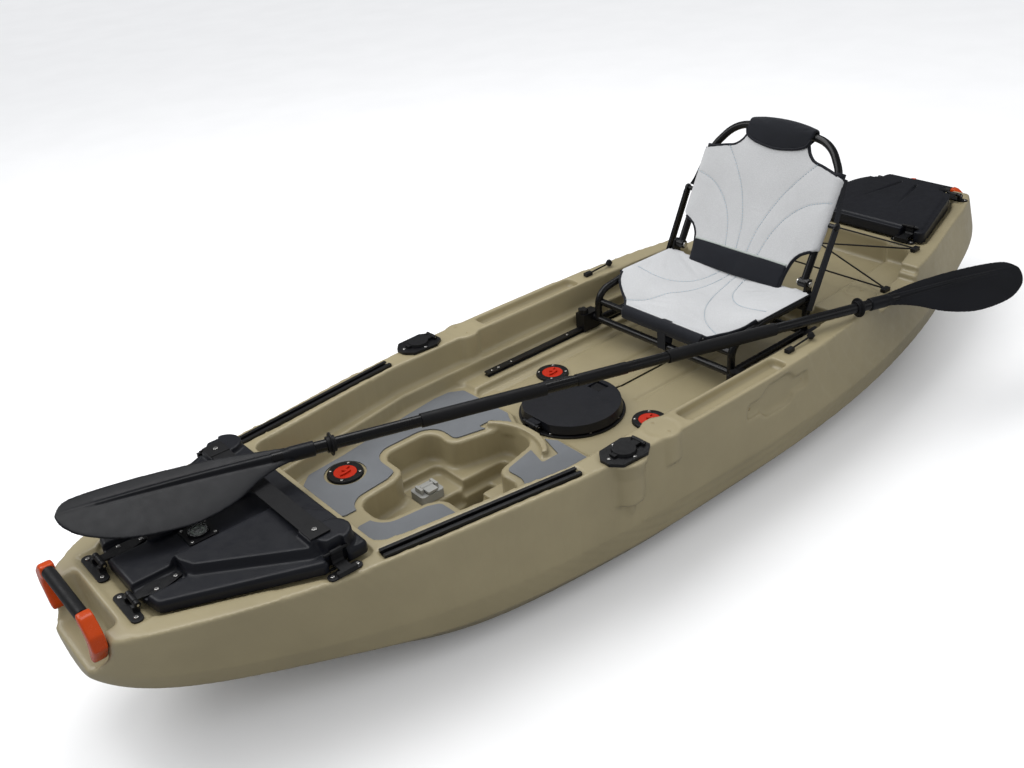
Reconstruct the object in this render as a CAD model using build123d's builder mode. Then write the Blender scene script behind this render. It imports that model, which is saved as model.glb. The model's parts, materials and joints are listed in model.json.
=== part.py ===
"""A pedal-drive-ready sit-on-top fishing kayak, 3.12 m long, with its seat, hatches, fittings and paddle.

Frame, in millimetres: +X runs forward to the bow, +Y to port, +Z up. The origin is on the centre line,
halfway along the hull, at the height of the keel's lowest point.
"""
from build123d import *
from math import atan2, cos, hypot, radians, sin
import os

os.makedirs("parts", exist_ok=True)

# ---- driving dimensions --------------------------------------------------------------------------
half_length = 1560
frames = 25                  # sections the hull is lofted through
wall = 6                     # rotomoulded polyethylene wall
above_deck = 420             # cutters rise to here, clear of the deck everywhere
below_keel = -20
floor_z = 200                # cockpit floor
foot_deck_z = 213            # foot deck forward of it, round the pedal well
rail_deck_z = 222            # raised bands and foredeck of the cockpit
ledge_z = 262                # step in the cockpit's side wall
shelf_z = 284                # corner shelves behind the seat
tank_z = 262                 # floor of the tank well
bow_seat_z = 346             # flat landing of the bow lid
stern_seat_z = 336           # flat landing of the stern lid
bow_plate_z = 348            # landing of the bow hinge and latch plates
stern_plate_z = 340          # landing of the stern hinge plates
fit = 0.05                   # radial clearance of a pin in its hole
gap = 0.5                    # clearance between neighbours that move

# Hull stations: x, keel height, then bilge, side and gunwale points as (half breadth, height).
stations = [
    (1560, 215, (52, 224), (92, 262), (108, 336)),
    (1535, 180, (64, 196), (120, 250), (142, 350)),
    (1480, 140, (80, 162), (152, 232), (184, 355)),
    (1370, 95, (112, 124), (198, 205), (238, 356)),
    (1140, 48, (192, 82), (278, 172), (312, 352)),
    (850, 18, (312, 44), (358, 150), (362, 347)),
    (500, 1, (362, 28), (410, 140), (410, 342)),
    (150, -2, (378, 26), (428, 140), (428, 340)),
    (-250, -2, (374, 26), (427, 140), (422, 338)),
    (-650, 3, (334, 32), (402, 150), (380, 338)),
    (-1000, 22, (278, 62), (350, 185), (318, 342)),
    (-1250, 48, (200, 90), (284, 205), (244, 346)),
    (-1430, 90, (132, 125), (224, 225), (190, 348)),
    (-1520, 135, (90, 165), (184, 245), (160, 346)),
    (-1560, 190, (60, 212), (140, 268), (124, 336)),
]

rod_holder_at = (396, 400)
rod_socket_z = 224           # underside of the rod holder's tube, inside the tapering bulge
mount_pad_at = (256, 384)
hatch_at = (193, 0)
scuppers = [(800, -183, foot_deck_z), (92, 190, floor_z), (92, -190, floor_z)]
side_handle_at = (-137, 272)
insert_radius = 3.2          # threaded brass insert, outside
insert_bore = 2.5
insert_depth = 5
dish_y = 416                 # depth plane of the flank dishes
upright_inserts = [(256, 358, 340), (256, 410, 340), (-767, 243, shelf_z)]
side_inserts = [(-32, 272), (-242, 272)]
grip_radius = 14
hinge_pin_radius = 2.5
knuckle_radius = 7
bow_hinge = (1437, 364, 85)      # x and z of the hinge axis, and y of each hinge's centre
stern_hinge = (-1452, 362, 132)
bow_lid_bottom = bow_seat_z + 3
stern_lid_bottom = stern_seat_z + 3
bow_arm_z = 364
stern_arm_z = 362
plate_thickness = 4
screw_hole_radius = 2.5
bow_plate = (112, 41)            # a hinge plate's length, and its screws' distance from its centre
stern_plate = (84, 34)
bow_leaf = [(-14, 12), (-40, 20), (-66, 17), (-104, 5)]     # half the outline of a hinge arm
stern_leaf = [(-14, 12), (-30, 17), (-46, 14), (-60, 6)]
bow_arm_screws = [(-46, 11), (-92, 0)]
stern_arm_screws = [(-46, -6)]
latch_stub_radius = 3
latch_half_span = 28
rail_screws_at = (232, 208, 160, -60, -300, -500)
track_ends = ((1002, 309, 352), (516, 376, 344))


# ---- helpers -------------------------------------------------------------------------------------
def mirrored(port_points):
    """A closed outline across the centre line, from its port half listed bow to stern."""
    return list(port_points) + [(x, -y) for x, y in reversed(port_points)]


def both_sides(*places):
    """Each (x, y, ...) place and its mirror image."""
    return [p for x, y, *rest in places for p in ((x, y, *rest), (x, -y, *rest))]


def outline(points, radius, grow=0):
    """A sketch of a polygon with rounded corners, grown outward by an offset."""
    with BuildSketch() as shape:
        with BuildLine():
            Polyline(*points, close=True)
        make_face()
        fillet(shape.vertices(), radius)
        if grow:
            offset(amount=grow)
    return shape.sketch


def prism(points, bottom, top, radius, grow=0):
    """An upright block with rounded vertical corners; grow thickens its sides and its bottom."""
    with BuildPart() as block:
        with BuildSketch(Plane.XY.offset(bottom - grow)):
            add(outline(points, radius, grow))
        extrude(amount=top - bottom + grow)
    return block.part


def disc(x, y, bottom, top, radius, top_radius=None):
    """An upright cylinder, or a cone when the top radius differs."""
    with BuildPart() as block:
        with BuildSketch(Plane((x, y, bottom))):
            Circle(radius)
        if top_radius is None:
            extrude(amount=top - bottom)
        else:
            with BuildSketch(Plane((x, y, top))):
                Circle(top_radius)
            loft()
    return block.part


def crossways(points, start, end, radius, grow=0):
    """A block whose rounded outline, given as (y, z), runs along X from start to end."""
    with BuildPart() as block:
        with BuildSketch(Plane(origin=(start - grow, 0, 0), x_dir=(0, 1, 0), z_dir=(1, 0, 0))):
            add(outline(points, radius, grow))
        extrude(amount=end - start + 2 * grow)
    return block.part


def blend_at(x, knots):
    """Smooth interpolation of knots, given as (x, value) from bow to stern, by Hermite cubics."""
    slopes = [(b[1] - a[1]) / (b[0] - a[0]) for a, b in zip(knots, knots[1:])]
    inner = [(s + t) / 2 if s * t > 0 else 0 for s, t in zip(slopes, slopes[1:])]
    tangents = [slopes[0], *inner, slopes[-1]]
    i = max(k for k in range(len(knots) - 1) if knots[k][0] >= x or k == 0)
    (x0, v0), (x1, v1) = knots[i], knots[i + 1]
    span = x1 - x0
    t = (x - x0) / span
    return (
        v0 * (2 * t**3 - 3 * t**2 + 1)
        + v1 * (3 * t**2 - 2 * t**3)
        + span * tangents[i] * (t**3 - 2 * t**2 + t)
        + span * tangents[i + 1] * (t**3 - t**2)
    )


def section_at(x):
    """The hull's keel height and its bilge, side and gunwale points at a place along the hull."""
    keel = blend_at(x, [(s[0], s[1]) for s in stations])
    points = []
    for k in (2, 3, 4):
        points.append(tuple(blend_at(x, [(s[0], s[k][i]) for s in stations]) for i in (0, 1)))
    return keel, *points


def lofted_hull(inset=0):
    """The hull's closed outer form, or the same form shrunk by inset on every side."""
    with BuildPart() as form:
        for number in range(frames):
            x = half_length - number * 2 * half_length / (frames - 1)
            keel, bilge, side, gunwale = section_at(x)
            x_in = x * (1 - inset / half_length)
            turn = (bilge[0] + 0.72 * (side[0] - bilge[0]), bilge[1] + 0.36 * (side[1] - bilge[1]))
            port = [
                (gunwale[0] - inset, gunwale[1] - inset),
                (side[0] - inset, side[1]),
                (turn[0] - inset, turn[1] + 0.3 * inset),
                (bilge[0] - 0.5 * inset, bilge[1] + inset),
                (0.55 * bilge[0], keel + 0.3 * (bilge[1] - keel) + inset),
            ]
            starboard = [(-y, z) for y, z in reversed(port)]
            with BuildSketch(Plane(origin=(x_in, 0, 0), x_dir=(0, 1, 0), z_dir=(1, 0, 0))):
                with BuildLine():
                    Polyline(*port, (0, keel + inset), *starboard, close=True)
                make_face()
        loft()
    return form.part


# ---- hull ----------------------------------------------------------------------------------------
bow_lid_outline = mirrored([(1428, 60), (1412, 150), (1118, 284), (1012, 284)])
bow_opening = mirrored([(1385, 112), (1120, 232), (1050, 232)])
stern_lid_outline = mirrored([(-1064, 256), (-1120, 240), (-1355, 168), (-1440, 122)])
stern_opening = mirrored([(-1112, 196), (-1190, 176), (-1330, 96)])
well_cross = mirrored([(848, 52), (735, 64), (690, 84), (688, 184), (528, 186), (532, 90), (380, 54)])
well_ledge_z = 132           # the first ledge inside the pedal well, then the lower ones
dock_ledge_z = 108
aft_ledge_z = 92
pit_z = 65
drive_slot = mirrored([(600, 25), (470, 25)])


def track_plane(side):
    """The sloping plane a gear track lies on: X runs aft along the track, Z is its upward normal."""
    (x0, y0, z0), (x1, y1, z1) = track_ends
    along = (x1 - x0, side * (y1 - y0), z1 - z0)
    across = Vector(*along).cross(Vector(0, 0, 1))
    return Plane(origin=(x0, side * y0, z0 - 12), x_dir=along, z_dir=across.cross(Vector(*along)))


track_length = hypot(track_ends[0][0] - track_ends[1][0], track_ends[0][1] - track_ends[1][1])


def track_bed(side, grow=0):
    """The channel in the gunwale that a gear track lies in."""
    with BuildPart() as bed:
        with BuildSketch(track_plane(side).offset(-grow)):
            with Locations((track_length / 2, 0)):
                Rectangle(track_length + 8 + 2 * grow, 34 + 2 * grow)
        extrude(amount=60)
    return bed.part


def side_dish(side, grow=0):
    """The shallow oval dish and its two screw tabs on one flank, for a carrying handle."""
    x, z = side_handle_at
    with BuildPart() as dish:
        with BuildSketch(Plane(origin=(0, side * (dish_y - grow), 0), x_dir=(1, 0, 0), z_dir=(0, side, 0))):
            with Locations((x, side * -z)):
                SlotOverall(150 + 2 * grow, 92 + 2 * grow)
                RectangleRounded(252 + 2 * grow, 44 + 2 * grow, 10)
        extrude(amount=60)
    return dish.part


def tubs(grow=0):
    """Every moulded recess of the hull; grown, they are where the hollow inside must stay away."""
    bow_ends = [(-128, 440), (-96, 262), (96, 262), (128, 440)]
    bow_palm = [(-220, 440), (-168, 330), (-98, 262), (98, 262), (168, 330), (220, 440)]
    stern_ends = [(-96, 440), (-74, 262), (74, 262), (96, 440)]
    stern_palm = [(-190, 440), (-124, 308), (-80, 262), (80, 262), (124, 308), (190, 440)]
    cockpit = [(960, 236), (520, 318), (-200, 326), (-600, 312)]
    cut = [
        prism(mirrored([(988, 268), (520, 345), (-200, 352), (-600, 336)]), ledge_z, above_deck, 34, grow),
        prism(mirrored(cockpit), rail_deck_z, above_deck, 34, grow),
        prism(mirrored([(960, 236), (520, 318), (318, 322)]), foot_deck_z, above_deck, 34, grow),
        prism(mirrored([(326, 258), (-585, 258)]), floor_z, above_deck, 22, grow),
        disc(*hatch_at, floor_z - grow, above_deck, 160 + grow),
        prism(well_cross, well_ledge_z, above_deck, 36, grow),
        prism(mirrored([(684, 150), (546, 150)]), dock_ledge_z, 200, 24, grow),
        prism(mirrored([(566, 40), (412, 36)]), aft_ledge_z, 200, 20, grow),
        prism(mirrored([(664, 40), (552, 40)]), pit_z, 150, 20, grow),
        prism(mirrored([(-560, 336), (-700, 318), (-880, 290), (-1006, 250)]), shelf_z, above_deck, 24, grow),
        prism(mirrored([(-570, 196), (-1022, 172)]), tank_z, above_deck, 30, grow),
        prism(bow_lid_outline, bow_seat_z, above_deck, 12, grow + 8),
        prism(stern_lid_outline, stern_seat_z, above_deck, 12, grow + 8),
        prism(mirrored([(1470, 148), (1400, 148)]), bow_plate_z, above_deck, 8, grow),
        prism(mirrored([(-1420, 177), (-1484, 177)]), stern_plate_z, above_deck, 8, grow),
        prism(mirrored([(-1012, 262), (-1084, 262)]), stern_plate_z, above_deck, 8, grow),
        prism(mirrored([(1132, 360), (1038, 360)]), bow_plate_z, above_deck, 8, grow),
        crossways(bow_ends, 1484, 1620, 24, grow),
        crossways(bow_palm, 1518, 1620, 20, grow),
        crossways(stern_ends, -1620, -1500, 20, grow),
        crossways(stern_palm, -1620, -1534, 16, grow),
    ]
    for side in (1, -1):
        tray = [(186, side * 362), (186, side * 413), (-186, side * 413), (-186, side * 362)]
        cut.append(prism(tray, 316, above_deck, 12, grow))
        cut.append(side_dish(side, grow))
        cut.append(track_bed(side, grow))
    for half_span, height in ((118, 302), (140, 322)):
        notch = mirrored([(half_span - 762, 480), (-half_span - 762, 480)])
        cut.append(prism(notch, height, above_deck, 1, grow))
    return cut


def hull_hollow():
    """The air space between the outer skin and the deck mouldings."""
    with BuildPart() as space:
        add(lofted_hull(wall))
        for cutter in tubs(wall):
            add(cutter, mode=Mode.SUBTRACT)
        for x, y, _ in scuppers:
            add(disc(x, y, below_keel, above_deck, 30), mode=Mode.SUBTRACT)
        add(prism(drive_slot, below_keel, 100, 10, wall), mode=Mode.SUBTRACT)
        for x, y in both_sides(rod_holder_at):
            add(disc(x, y, 190, above_deck, 34), mode=Mode.SUBTRACT)
        for x, y in both_sides(mount_pad_at):
            add(disc(x, y, 300, above_deck, 52), mode=Mode.SUBTRACT)
    return space.part


def deck_ridge():
    """The low curved rib between the pedal well and the round hatch."""
    with BuildPart() as ridge:
        with BuildSketch(Plane.XY.offset(floor_z - 4)):
            with BuildLine():
                ThreePointArc((406, -94), (355, 20), (398, 132))
                Line((398, 132), (412, 126))
                ThreePointArc((412, 126), (375, 20), (420, -86))
                Line((420, -86), (406, -94))
            make_face()
        extrude(amount=foot_deck_z + 20 - floor_z)
    return ridge.part


with BuildPart() as hull:
    add(lofted_hull())
    for x, y in both_sides(rod_holder_at):
        add(disc(x, y, 150, 343, 14, 58))
    for cutter in tubs():
        add(cutter, mode=Mode.SUBTRACT)
    for x, y in both_sides(mount_pad_at):
        add(disc(x, y, ledge_z, 342, 50))
        add(disc(x, y, 340, above_deck, 46), mode=Mode.SUBTRACT)
    for x, y in both_sides(rod_holder_at):
        add(disc(x, y, rail_deck_z, 340, 47))
        add(disc(x, y, 340, above_deck, 66), mode=Mode.SUBTRACT)
    add(deck_ridge())
    add(hull_hollow(), mode=Mode.SUBTRACT)
    for x, y, z in scuppers:
        add(disc(x, y, below_keel, above_deck, 22), mode=Mode.SUBTRACT)
    add(prism(drive_slot, below_keel, 100, 10), mode=Mode.SUBTRACT)
    add(prism(bow_opening, 300, above_deck, 12), mode=Mode.SUBTRACT)
    add(prism(stern_opening, 300, above_deck, 12), mode=Mode.SUBTRACT)
    add(disc(*hatch_at, 180, above_deck, 112), mode=Mode.SUBTRACT)
    for x, y in both_sides(rod_holder_at):
        add(disc(x, y, rod_socket_z - 4, above_deck, 24.5), mode=Mode.SUBTRACT)
    with BuildSketch(Plane.XY.offset(floor_z - 3)):
        for y in (0, 89, -89, 230, -230):
            with Locations((-262, y)):
                SlotOverall(600, 9)
    extrude(amount=20, mode=Mode.SUBTRACT)
    with BuildSketch(Plane.XY.offset(below_keel)):
        Rectangle(2400, 900)
    extrude(amount=-below_keel, mode=Mode.SUBTRACT)
    for x, y, z in both_sides(*upright_inserts):
        add(disc(x, y, z - insert_depth, z + 40, insert_radius), mode=Mode.SUBTRACT)
    with BuildSketch(Plane.XZ.offset(-500)):
        with Locations(*side_inserts):
            Circle(insert_radius)
    extrude(amount=500 - dish_y + insert_depth, mode=Mode.SUBTRACT)
    with BuildSketch(Plane.XZ.offset(500)):
        with Locations(*side_inserts):
            Circle(insert_radius)
    extrude(amount=-(500 - dish_y + insert_depth), mode=Mode.SUBTRACT)

# ---- shared fastener and hinge shapes ------------------------------------------------------------
def screw(x, y, seat, head=5, grip=plate_thickness):
    """A domed screw whose head sits at the given height, its shank passing through the plate below."""
    with BuildPart() as fastener:
        with BuildSketch(Plane((x, y, seat))):
            Circle(head)
        extrude(amount=2.4)
        fillet(fastener.edges().group_by(Axis.Z)[-1], 1.6)
        with BuildSketch(Plane((x, y, seat))):
            Circle(screw_hole_radius - fit)
        extrude(amount=-grip)
    return fastener.part


def bar(start, end, radius):
    """A round bar between two points."""
    with BuildPart() as rod:
        with BuildSketch(Plane(origin=start, z_dir=Vector(*end) - Vector(*start))):
            Circle(radius)
        extrude(amount=(Vector(*end) - Vector(*start)).length)
    return rod.part


def cross_bar(x, y, z, reach, radius):
    """A round bar across the boat, centred on y and reaching as far to either side."""
    return bar((x, y - reach, z), (x, y + reach, z), radius)


def bent_tube(points, radius, bend):
    """A round tube along a polyline with rounded bends."""
    with BuildPart() as tube:
        with BuildLine() as path:
            FilletPolyline(*points, radius=bend)
        with BuildSketch(Plane(origin=path.line @ 0, z_dir=path.line % 0)):
            Circle(radius)
        sweep()
    return tube.part


def block(x0, x1, y0, y1, z0, z1):
    """A rectangular block between two corners."""
    with BuildPart() as solid:
        with BuildSketch(Plane(((x0 + x1) / 2, (y0 + y1) / 2, z0))):
            Rectangle(x1 - x0, abs(y1 - y0))
        extrude(amount=z1 - z0)
    return solid.part


def hinge_plate(axis, deck, side, out, plate_size):
    """A bean-shaped deck plate with two knuckles; out is +1 when the plate reaches towards the bow."""
    x, z, y = axis
    y = side * y
    length, hole = plate_size
    with BuildPart() as plate:
        with BuildSketch(Plane((x + out * 13, y, deck))):
            SlotOverall(length, 26, rotation=90)
            with Locations((0, hole), (0, -hole)):
                Circle(screw_hole_radius, mode=Mode.SUBTRACT)
        extrude(amount=plate_thickness)
        for knuckle_y in (y - 19, y + 19):
            add(block(x + out * 5 - 7, x + out * 5 + 7, knuckle_y - 6, knuckle_y + 6, deck, z))
            add(bar((x, knuckle_y - 6, z), (x, knuckle_y + 6, z), knuckle_radius))
        add(bar((x, y - 40, z), (x, y + 40, z), hinge_pin_radius + fit), mode=Mode.SUBTRACT)
    return plate.part


def hinge_arm(axis, top, side, out, half_leaf, holes):
    """A leaf-shaped arm lying on the lid, with one knuckle on the hinge axis."""
    x, z, y = axis
    y = side * y
    leaf = half_leaf + [(u, -v) for u, v in reversed(half_leaf)]
    with BuildPart() as arm:
        with BuildSketch(Plane((x, y, top))):
            with BuildLine():
                Polyline(*[(out * u, v) for u, v in leaf], close=True)
            make_face()
            with Locations(*[(out * u, side * v) for u, v in holes]):
                Circle(screw_hole_radius, mode=Mode.SUBTRACT)
        extrude(amount=plate_thickness)
        add(block(x - 9 - out * 9, x + 9 - out * 9, y - 12, y + 12, min(z, top), top + plate_thickness))
        add(bar((x, y - 12, z), (x, y + 12, z), knuckle_radius))
        add(bar((x, y - 40, z), (x, y + 40, z), hinge_pin_radius + fit), mode=Mode.SUBTRACT)
    return arm.part


# ---- carrying handles ----------------------------------------------------------------------------
bow_cap = [(92, 403), (116, 400), (150, 370), (151, 338), (118, 292), (104, 284), (100, 300), (112, 330),
           (116, 350), (108, 368), (92, 372)]
stern_cap = [
    (70, 347), (90, 344), (112, 328), (114, 310), (98, 290), (90, 294), (92, 310), (86, 316), (70, 317),
]

with BuildPart() as handle_grips:
    add(bar((1534, -92, 387), (1534, 92, 387), grip_radius))
    add(bar((-1547, -70, 332), (-1547, 70, 332), grip_radius))

with BuildPart() as handle_caps:
    for side in (1, -1):
        add(crossways([(side * y, z) for y, z in bow_cap], 1518, 1549, 3))
        add(crossways([(side * y, z) for y, z in stern_cap], -1561, -1534, 3))

# ---- hatch hinges, latch plates, seals and screws ------------------------------------------------
with BuildPart() as hatch_hinge_plates:
    for side in (1, -1):
        add(hinge_plate(bow_hinge, bow_plate_z, side, 1, bow_plate))
        add(hinge_plate(stern_hinge, stern_plate_z, side, -1, stern_plate))

with BuildPart() as hatch_hinge_pins:
    for x, z, half_spacing in (bow_hinge, stern_hinge):
        for y in (half_spacing, -half_spacing):
            add(bar((x, y - 26, z), (x, y + 26, z), hinge_pin_radius))

with BuildPart() as bow_hinge_arms:
    for side in (1, -1):
        add(hinge_arm(bow_hinge, bow_arm_z, side, 1, bow_leaf, bow_arm_screws))

with BuildPart() as stern_hinge_arms:
    for side in (1, -1):
        add(hinge_arm(stern_hinge, stern_arm_z, side, -1, stern_leaf, stern_arm_screws))

# Latch stations: ridge centre, outward direction, deck height, then the lever pivot's offset and height.
bow_latches = [((1085, side * 301), (0, side), bow_plate_z, -25, 388) for side in (1, -1)]
stern_latches = [((-1047, side * 197), (1, 0), stern_plate_z, -36, 378) for side in (1, -1)]


def latch_plane(place, outward):
    """A plane across a latch: X points outward, Y up, and its normal runs along the lid's edge."""
    return Plane(origin=(*place, 0), x_dir=(*outward, 0), z_dir=Vector(*outward, 0).cross(Vector(0, 0, 1)))


def latch_lever(place, outward, deck, reach, pivot):
    """A strap that hangs from the lid's corner, passes over the plate's ridge and hooks behind it."""
    plane = latch_plane(place, outward)
    top = deck + plate_thickness
    strap = [(reach - 2.5, pivot), (reach - 2.5, top + 12), (reach, top + 7), (7, top + 7), (7, top + 1),
             (14, top + 1), (16, top + 12), (reach + 6, top + 12), (reach + 2.5, top + 16),
             (reach + 2.5, pivot)]
    with BuildPart() as lever:
        with BuildSketch(plane):
            with BuildLine():
                Polyline(*strap, close=True)
            make_face()
        extrude(amount=13, both=True)
        with BuildSketch(plane):
            with Locations((11.5, top + 6.5)):
                Rectangle(9, 11)
        extrude(amount=22, both=True)
        with BuildSketch(plane):
            with Locations((reach, pivot)):
                Circle(5.5)
        extrude(amount=13, both=True)
        with BuildSketch(plane):
            with Locations((reach, pivot)):
                Circle(latch_stub_radius)
        extrude(amount=latch_half_span, both=True)
    return lever.part


def latch_plate(place, outward, deck):
    """The deck plate under a latch, with the ridge its lever hooks over."""
    plane = latch_plane(place, outward)
    with BuildPart() as plate:
        with BuildSketch(Plane(origin=(*place, deck), x_dir=plane.z_dir, z_dir=(0, 0, 1))):
            SlotOverall(80, 24)
            with Locations((29, 0), (-29, 0)):
                Circle(screw_hole_radius, mode=Mode.SUBTRACT)
        extrude(amount=plate_thickness)
        with BuildSketch(plane):
            with Locations((0, deck + plate_thickness + 3)):
                Rectangle(10, 6)
        extrude(amount=9, both=True)
    return plate.part


def latch_pocket(place, outward, deck, reach, pivot):
    """What a latch removes from its lid: the notch around the lever, and the two pivot holes."""
    plane = latch_plane(place, outward)
    with BuildPart() as pocket:
        with BuildSketch(plane):
            with Locations(((reach - 10 + 40) / 2, 400)):
                Rectangle(40 - reach + 10, 140)
        extrude(amount=latch_half_span - 5, both=True)
        with BuildSketch(plane):
            with Locations((reach, pivot)):
                Circle(latch_stub_radius + fit)
        extrude(amount=latch_half_span + 0.5, both=True)
    return pocket.part


with BuildPart() as hatch_latch_plates:
    for place, outward, deck, _, _ in bow_latches + stern_latches:
        add(latch_plate(place, outward, deck))


def seal_ring(points, bottom, top):
    """A flat gasket just inside a lid's edge."""
    with BuildPart() as ring:
        with BuildSketch(Plane.XY.offset(bottom)):
            add(outline(points, 14, -6))
            add(outline(points, 14, -13), mode=Mode.SUBTRACT)
        extrude(amount=top - bottom)
    return ring.part


with BuildPart() as hatch_seals:
    add(seal_ring(bow_lid_outline, bow_seat_z, bow_lid_bottom))
    add(seal_ring(stern_lid_outline, stern_seat_z, stern_lid_bottom))

# ---- bow hatch lid -------------------------------------------------------------------------------
post_at = (1066, 236)            # raised corner posts that carry the lid's strap
post_top = 410
channel_top = bow_lid_bottom + 28
lid_wall = 5
wing = [(1352, 48), (1322, 122), (1126, 252), (1018, 252), (1018, 150), (1100, 48)]
wing_hollow = [(1296, 70), (1266, 112), (1126, 198), (1046, 198), (1046, 172), (1116, 80)]


def raised_panel(points, bottom, top, radius, slope):
    """A panel with sloping sides, between an outline and the same outline drawn in."""
    with BuildPart() as panel:
        with BuildSketch(Plane.XY.offset(bottom)):
            add(outline(points, radius))
        with BuildSketch(Plane.XY.offset(top)):
            add(outline(points, radius, -slope))
        loft()
    return panel.part


with BuildPart() as bow_hatch_lid:
    add(prism(bow_lid_outline, bow_lid_bottom, channel_top - 8, 14))
    add(raised_panel(bow_lid_outline, channel_top - 8, channel_top, 14, 5))
    for side in (1, -1):
        add(raised_panel([(x, side * y) for x, y in wing], channel_top, channel_top + 20, 14, 10))
        add(disc(post_at[0], side * post_at[1], bow_lid_bottom, post_top, 44, 40))
        add(prism([(1330 + dx, side * y) for dx, y in ((0, 58), (110, 58), (110, 112), (0, 112))],
                  bow_arm_z, above_deck, 4), mode=Mode.SUBTRACT)
        with BuildSketch(Plane((post_at[0] + 28, side * 216, channel_top))):
            Rectangle(50, 52)
        extrude(amount=post_top - channel_top)
        under_wing = [(x, side * y) for x, y in wing_hollow]
        add(prism(under_wing, bow_lid_bottom - 1, channel_top + 13, 8), mode=Mode.SUBTRACT)
    under_channel = mirrored([(1300, 70), (1042, 70)])
    add(prism(under_channel, bow_lid_bottom - 1, channel_top - lid_wall, 12), mode=Mode.SUBTRACT)
    for latch in bow_latches:
        add(latch_pocket(*latch), mode=Mode.SUBTRACT)

with BuildPart() as bow_lid_strap:
    add(block(1072, 1116, -240, 240, post_top, post_top + 2.5))
    for side in (1, -1):
        add(block(1070, 1118, side * 218 - 24, side * 218 + 24, post_top + 2.5, post_top + 5))
    for side in (1, -1):
        add(disc(1094, side * 218, post_top, post_top + 5, screw_hole_radius), mode=Mode.SUBTRACT)

compass_at = (1252, 0)
card_radius = 17
with BuildPart() as compass_base:
    with BuildSketch(Plane((*compass_at, channel_top))):
        RectangleRounded(66, 66, 6)
        with GridLocations(52, 52, 2, 2):
            Circle(screw_hole_radius, mode=Mode.SUBTRACT)
    extrude(amount=plate_thickness)
    with BuildSketch(Plane((*compass_at, channel_top))):
        Circle(24)
    extrude(amount=9)
    add(disc(*compass_at, channel_top + 2, channel_top + 9, card_radius + 1), mode=Mode.SUBTRACT)
    add(disc(*compass_at, channel_top + 2, channel_top + 5, 1.2))

with BuildPart() as compass_card:
    add(disc(*compass_at, channel_top + 5, channel_top + 7, card_radius))
    add(disc(*compass_at, channel_top + 2.5, channel_top + 5, 1.2 + fit + 1.5))
    add(disc(*compass_at, channel_top + 2, channel_top + 5, 1.2 + fit), mode=Mode.SUBTRACT)

with BuildPart() as compass_dome:
    add(disc(*compass_at, channel_top + 9, channel_top + 18, 22.5, top_radius=14))
    add(disc(*compass_at, channel_top + 9, channel_top + 16, 20, top_radius=12.5), mode=Mode.SUBTRACT)

with BuildPart() as bow_lid_screws:
    for side in (1, -1):
        for u, v in bow_arm_screws:
            add(screw(bow_hinge[0] + u, side * (bow_hinge[2] + v), bow_arm_z + plate_thickness))
        add(screw(1094, side * 218, post_top + 5, 6, 5))
    for dx in (-26, 26):
        for dy in (-26, 26):
            add(screw(compass_at[0] + dx, compass_at[1] + dy, channel_top + plate_thickness, 4))

# ---- stern hatch lid -----------------------------------------------------------------------------
stern_lid_front = 371            # the lid's top rises from this height at its front edge
stern_lid_rear = 391
stern_panel = mirrored([(-1084, 236), (-1126, 222), (-1340, 156), (-1428, 98)])


def sloped_slab(points, lift):
    """A slab on the stern lid's base whose top follows the lid's slope, raised by lift."""
    with BuildPart() as slab:
        add(prism(points, stern_lid_bottom, above_deck, 14))
        with BuildSketch(Plane.XZ.offset(-300)):
            with BuildLine():
                front = (-1040, stern_lid_front + lift)
                rear = (-1470, stern_lid_rear + lift)
                Polyline(front, (-1040, 500), (-1470, 500), rear, close=True)
            make_face()
        extrude(amount=600, mode=Mode.SUBTRACT)
    return slab.part


with BuildPart() as stern_hatch_lid:
    add(sloped_slab(stern_lid_outline, 0))
    add(sloped_slab(stern_panel, 4))
    under_lid = mirrored([(-1108, 158), (-1200, 148), (-1368, 88)])
    add(prism(under_lid, stern_lid_bottom - 1, stern_lid_front - lid_wall, 14), mode=Mode.SUBTRACT)
    for side in (1, -1):
        corner = [(-1388, side * 108), (-1500, side * 108), (-1500, side * 200), (-1388, side * 200)]
        add(prism(corner, stern_arm_z, above_deck, 4), mode=Mode.SUBTRACT)
        groove_at = (-1290, side * 50, stern_lid_rear - 8)
        with BuildSketch(Plane(origin=groove_at, x_dir=(1, side * 0.22, 0), z_dir=(0, 0, 1))):
            SlotOverall(210, 9)
        extrude(amount=30, mode=Mode.SUBTRACT)
    for latch in stern_latches:
        add(latch_pocket(*latch), mode=Mode.SUBTRACT)

with BuildPart() as stern_lid_screws:
    for side in (1, -1):
        for u, v in stern_arm_screws:
            add(screw(stern_hinge[0] - u, side * (stern_hinge[2] + v), stern_arm_z + plate_thickness))


def lever_part(latch):
    """One latch lever as a part of its own."""
    with BuildPart() as lever:
        add(latch_lever(*latch))
    return lever


bow_latch_port, bow_latch_starboard = [lever_part(latch) for latch in bow_latches]
stern_latch_port, stern_latch_starboard = [lever_part(latch) for latch in stern_latches]

# ---- gear tracks ---------------------------------------------------------------------------------
track_width = 30
track_height = 14
track_screws_at = (18, 42, 88, 245, 460)

with BuildPart() as gear_tracks:
    for side in (1, -1):
        for width, low, high, mode in (
            (track_width, 0, track_height, Mode.ADD),
            (20, 3, 10, Mode.SUBTRACT),
            (11, 9, track_height, Mode.SUBTRACT),
        ):
            with BuildSketch(track_plane(side).offset(low)):
                with Locations((track_length / 2, 0)):
                    Rectangle(track_length, width)
            extrude(amount=high - low, mode=mode)
        with BuildSketch(track_plane(side)):
            with Locations(*[(x, 0) for x in track_screws_at]):
                Circle(screw_hole_radius)
        extrude(amount=3, mode=Mode.SUBTRACT)

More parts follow.
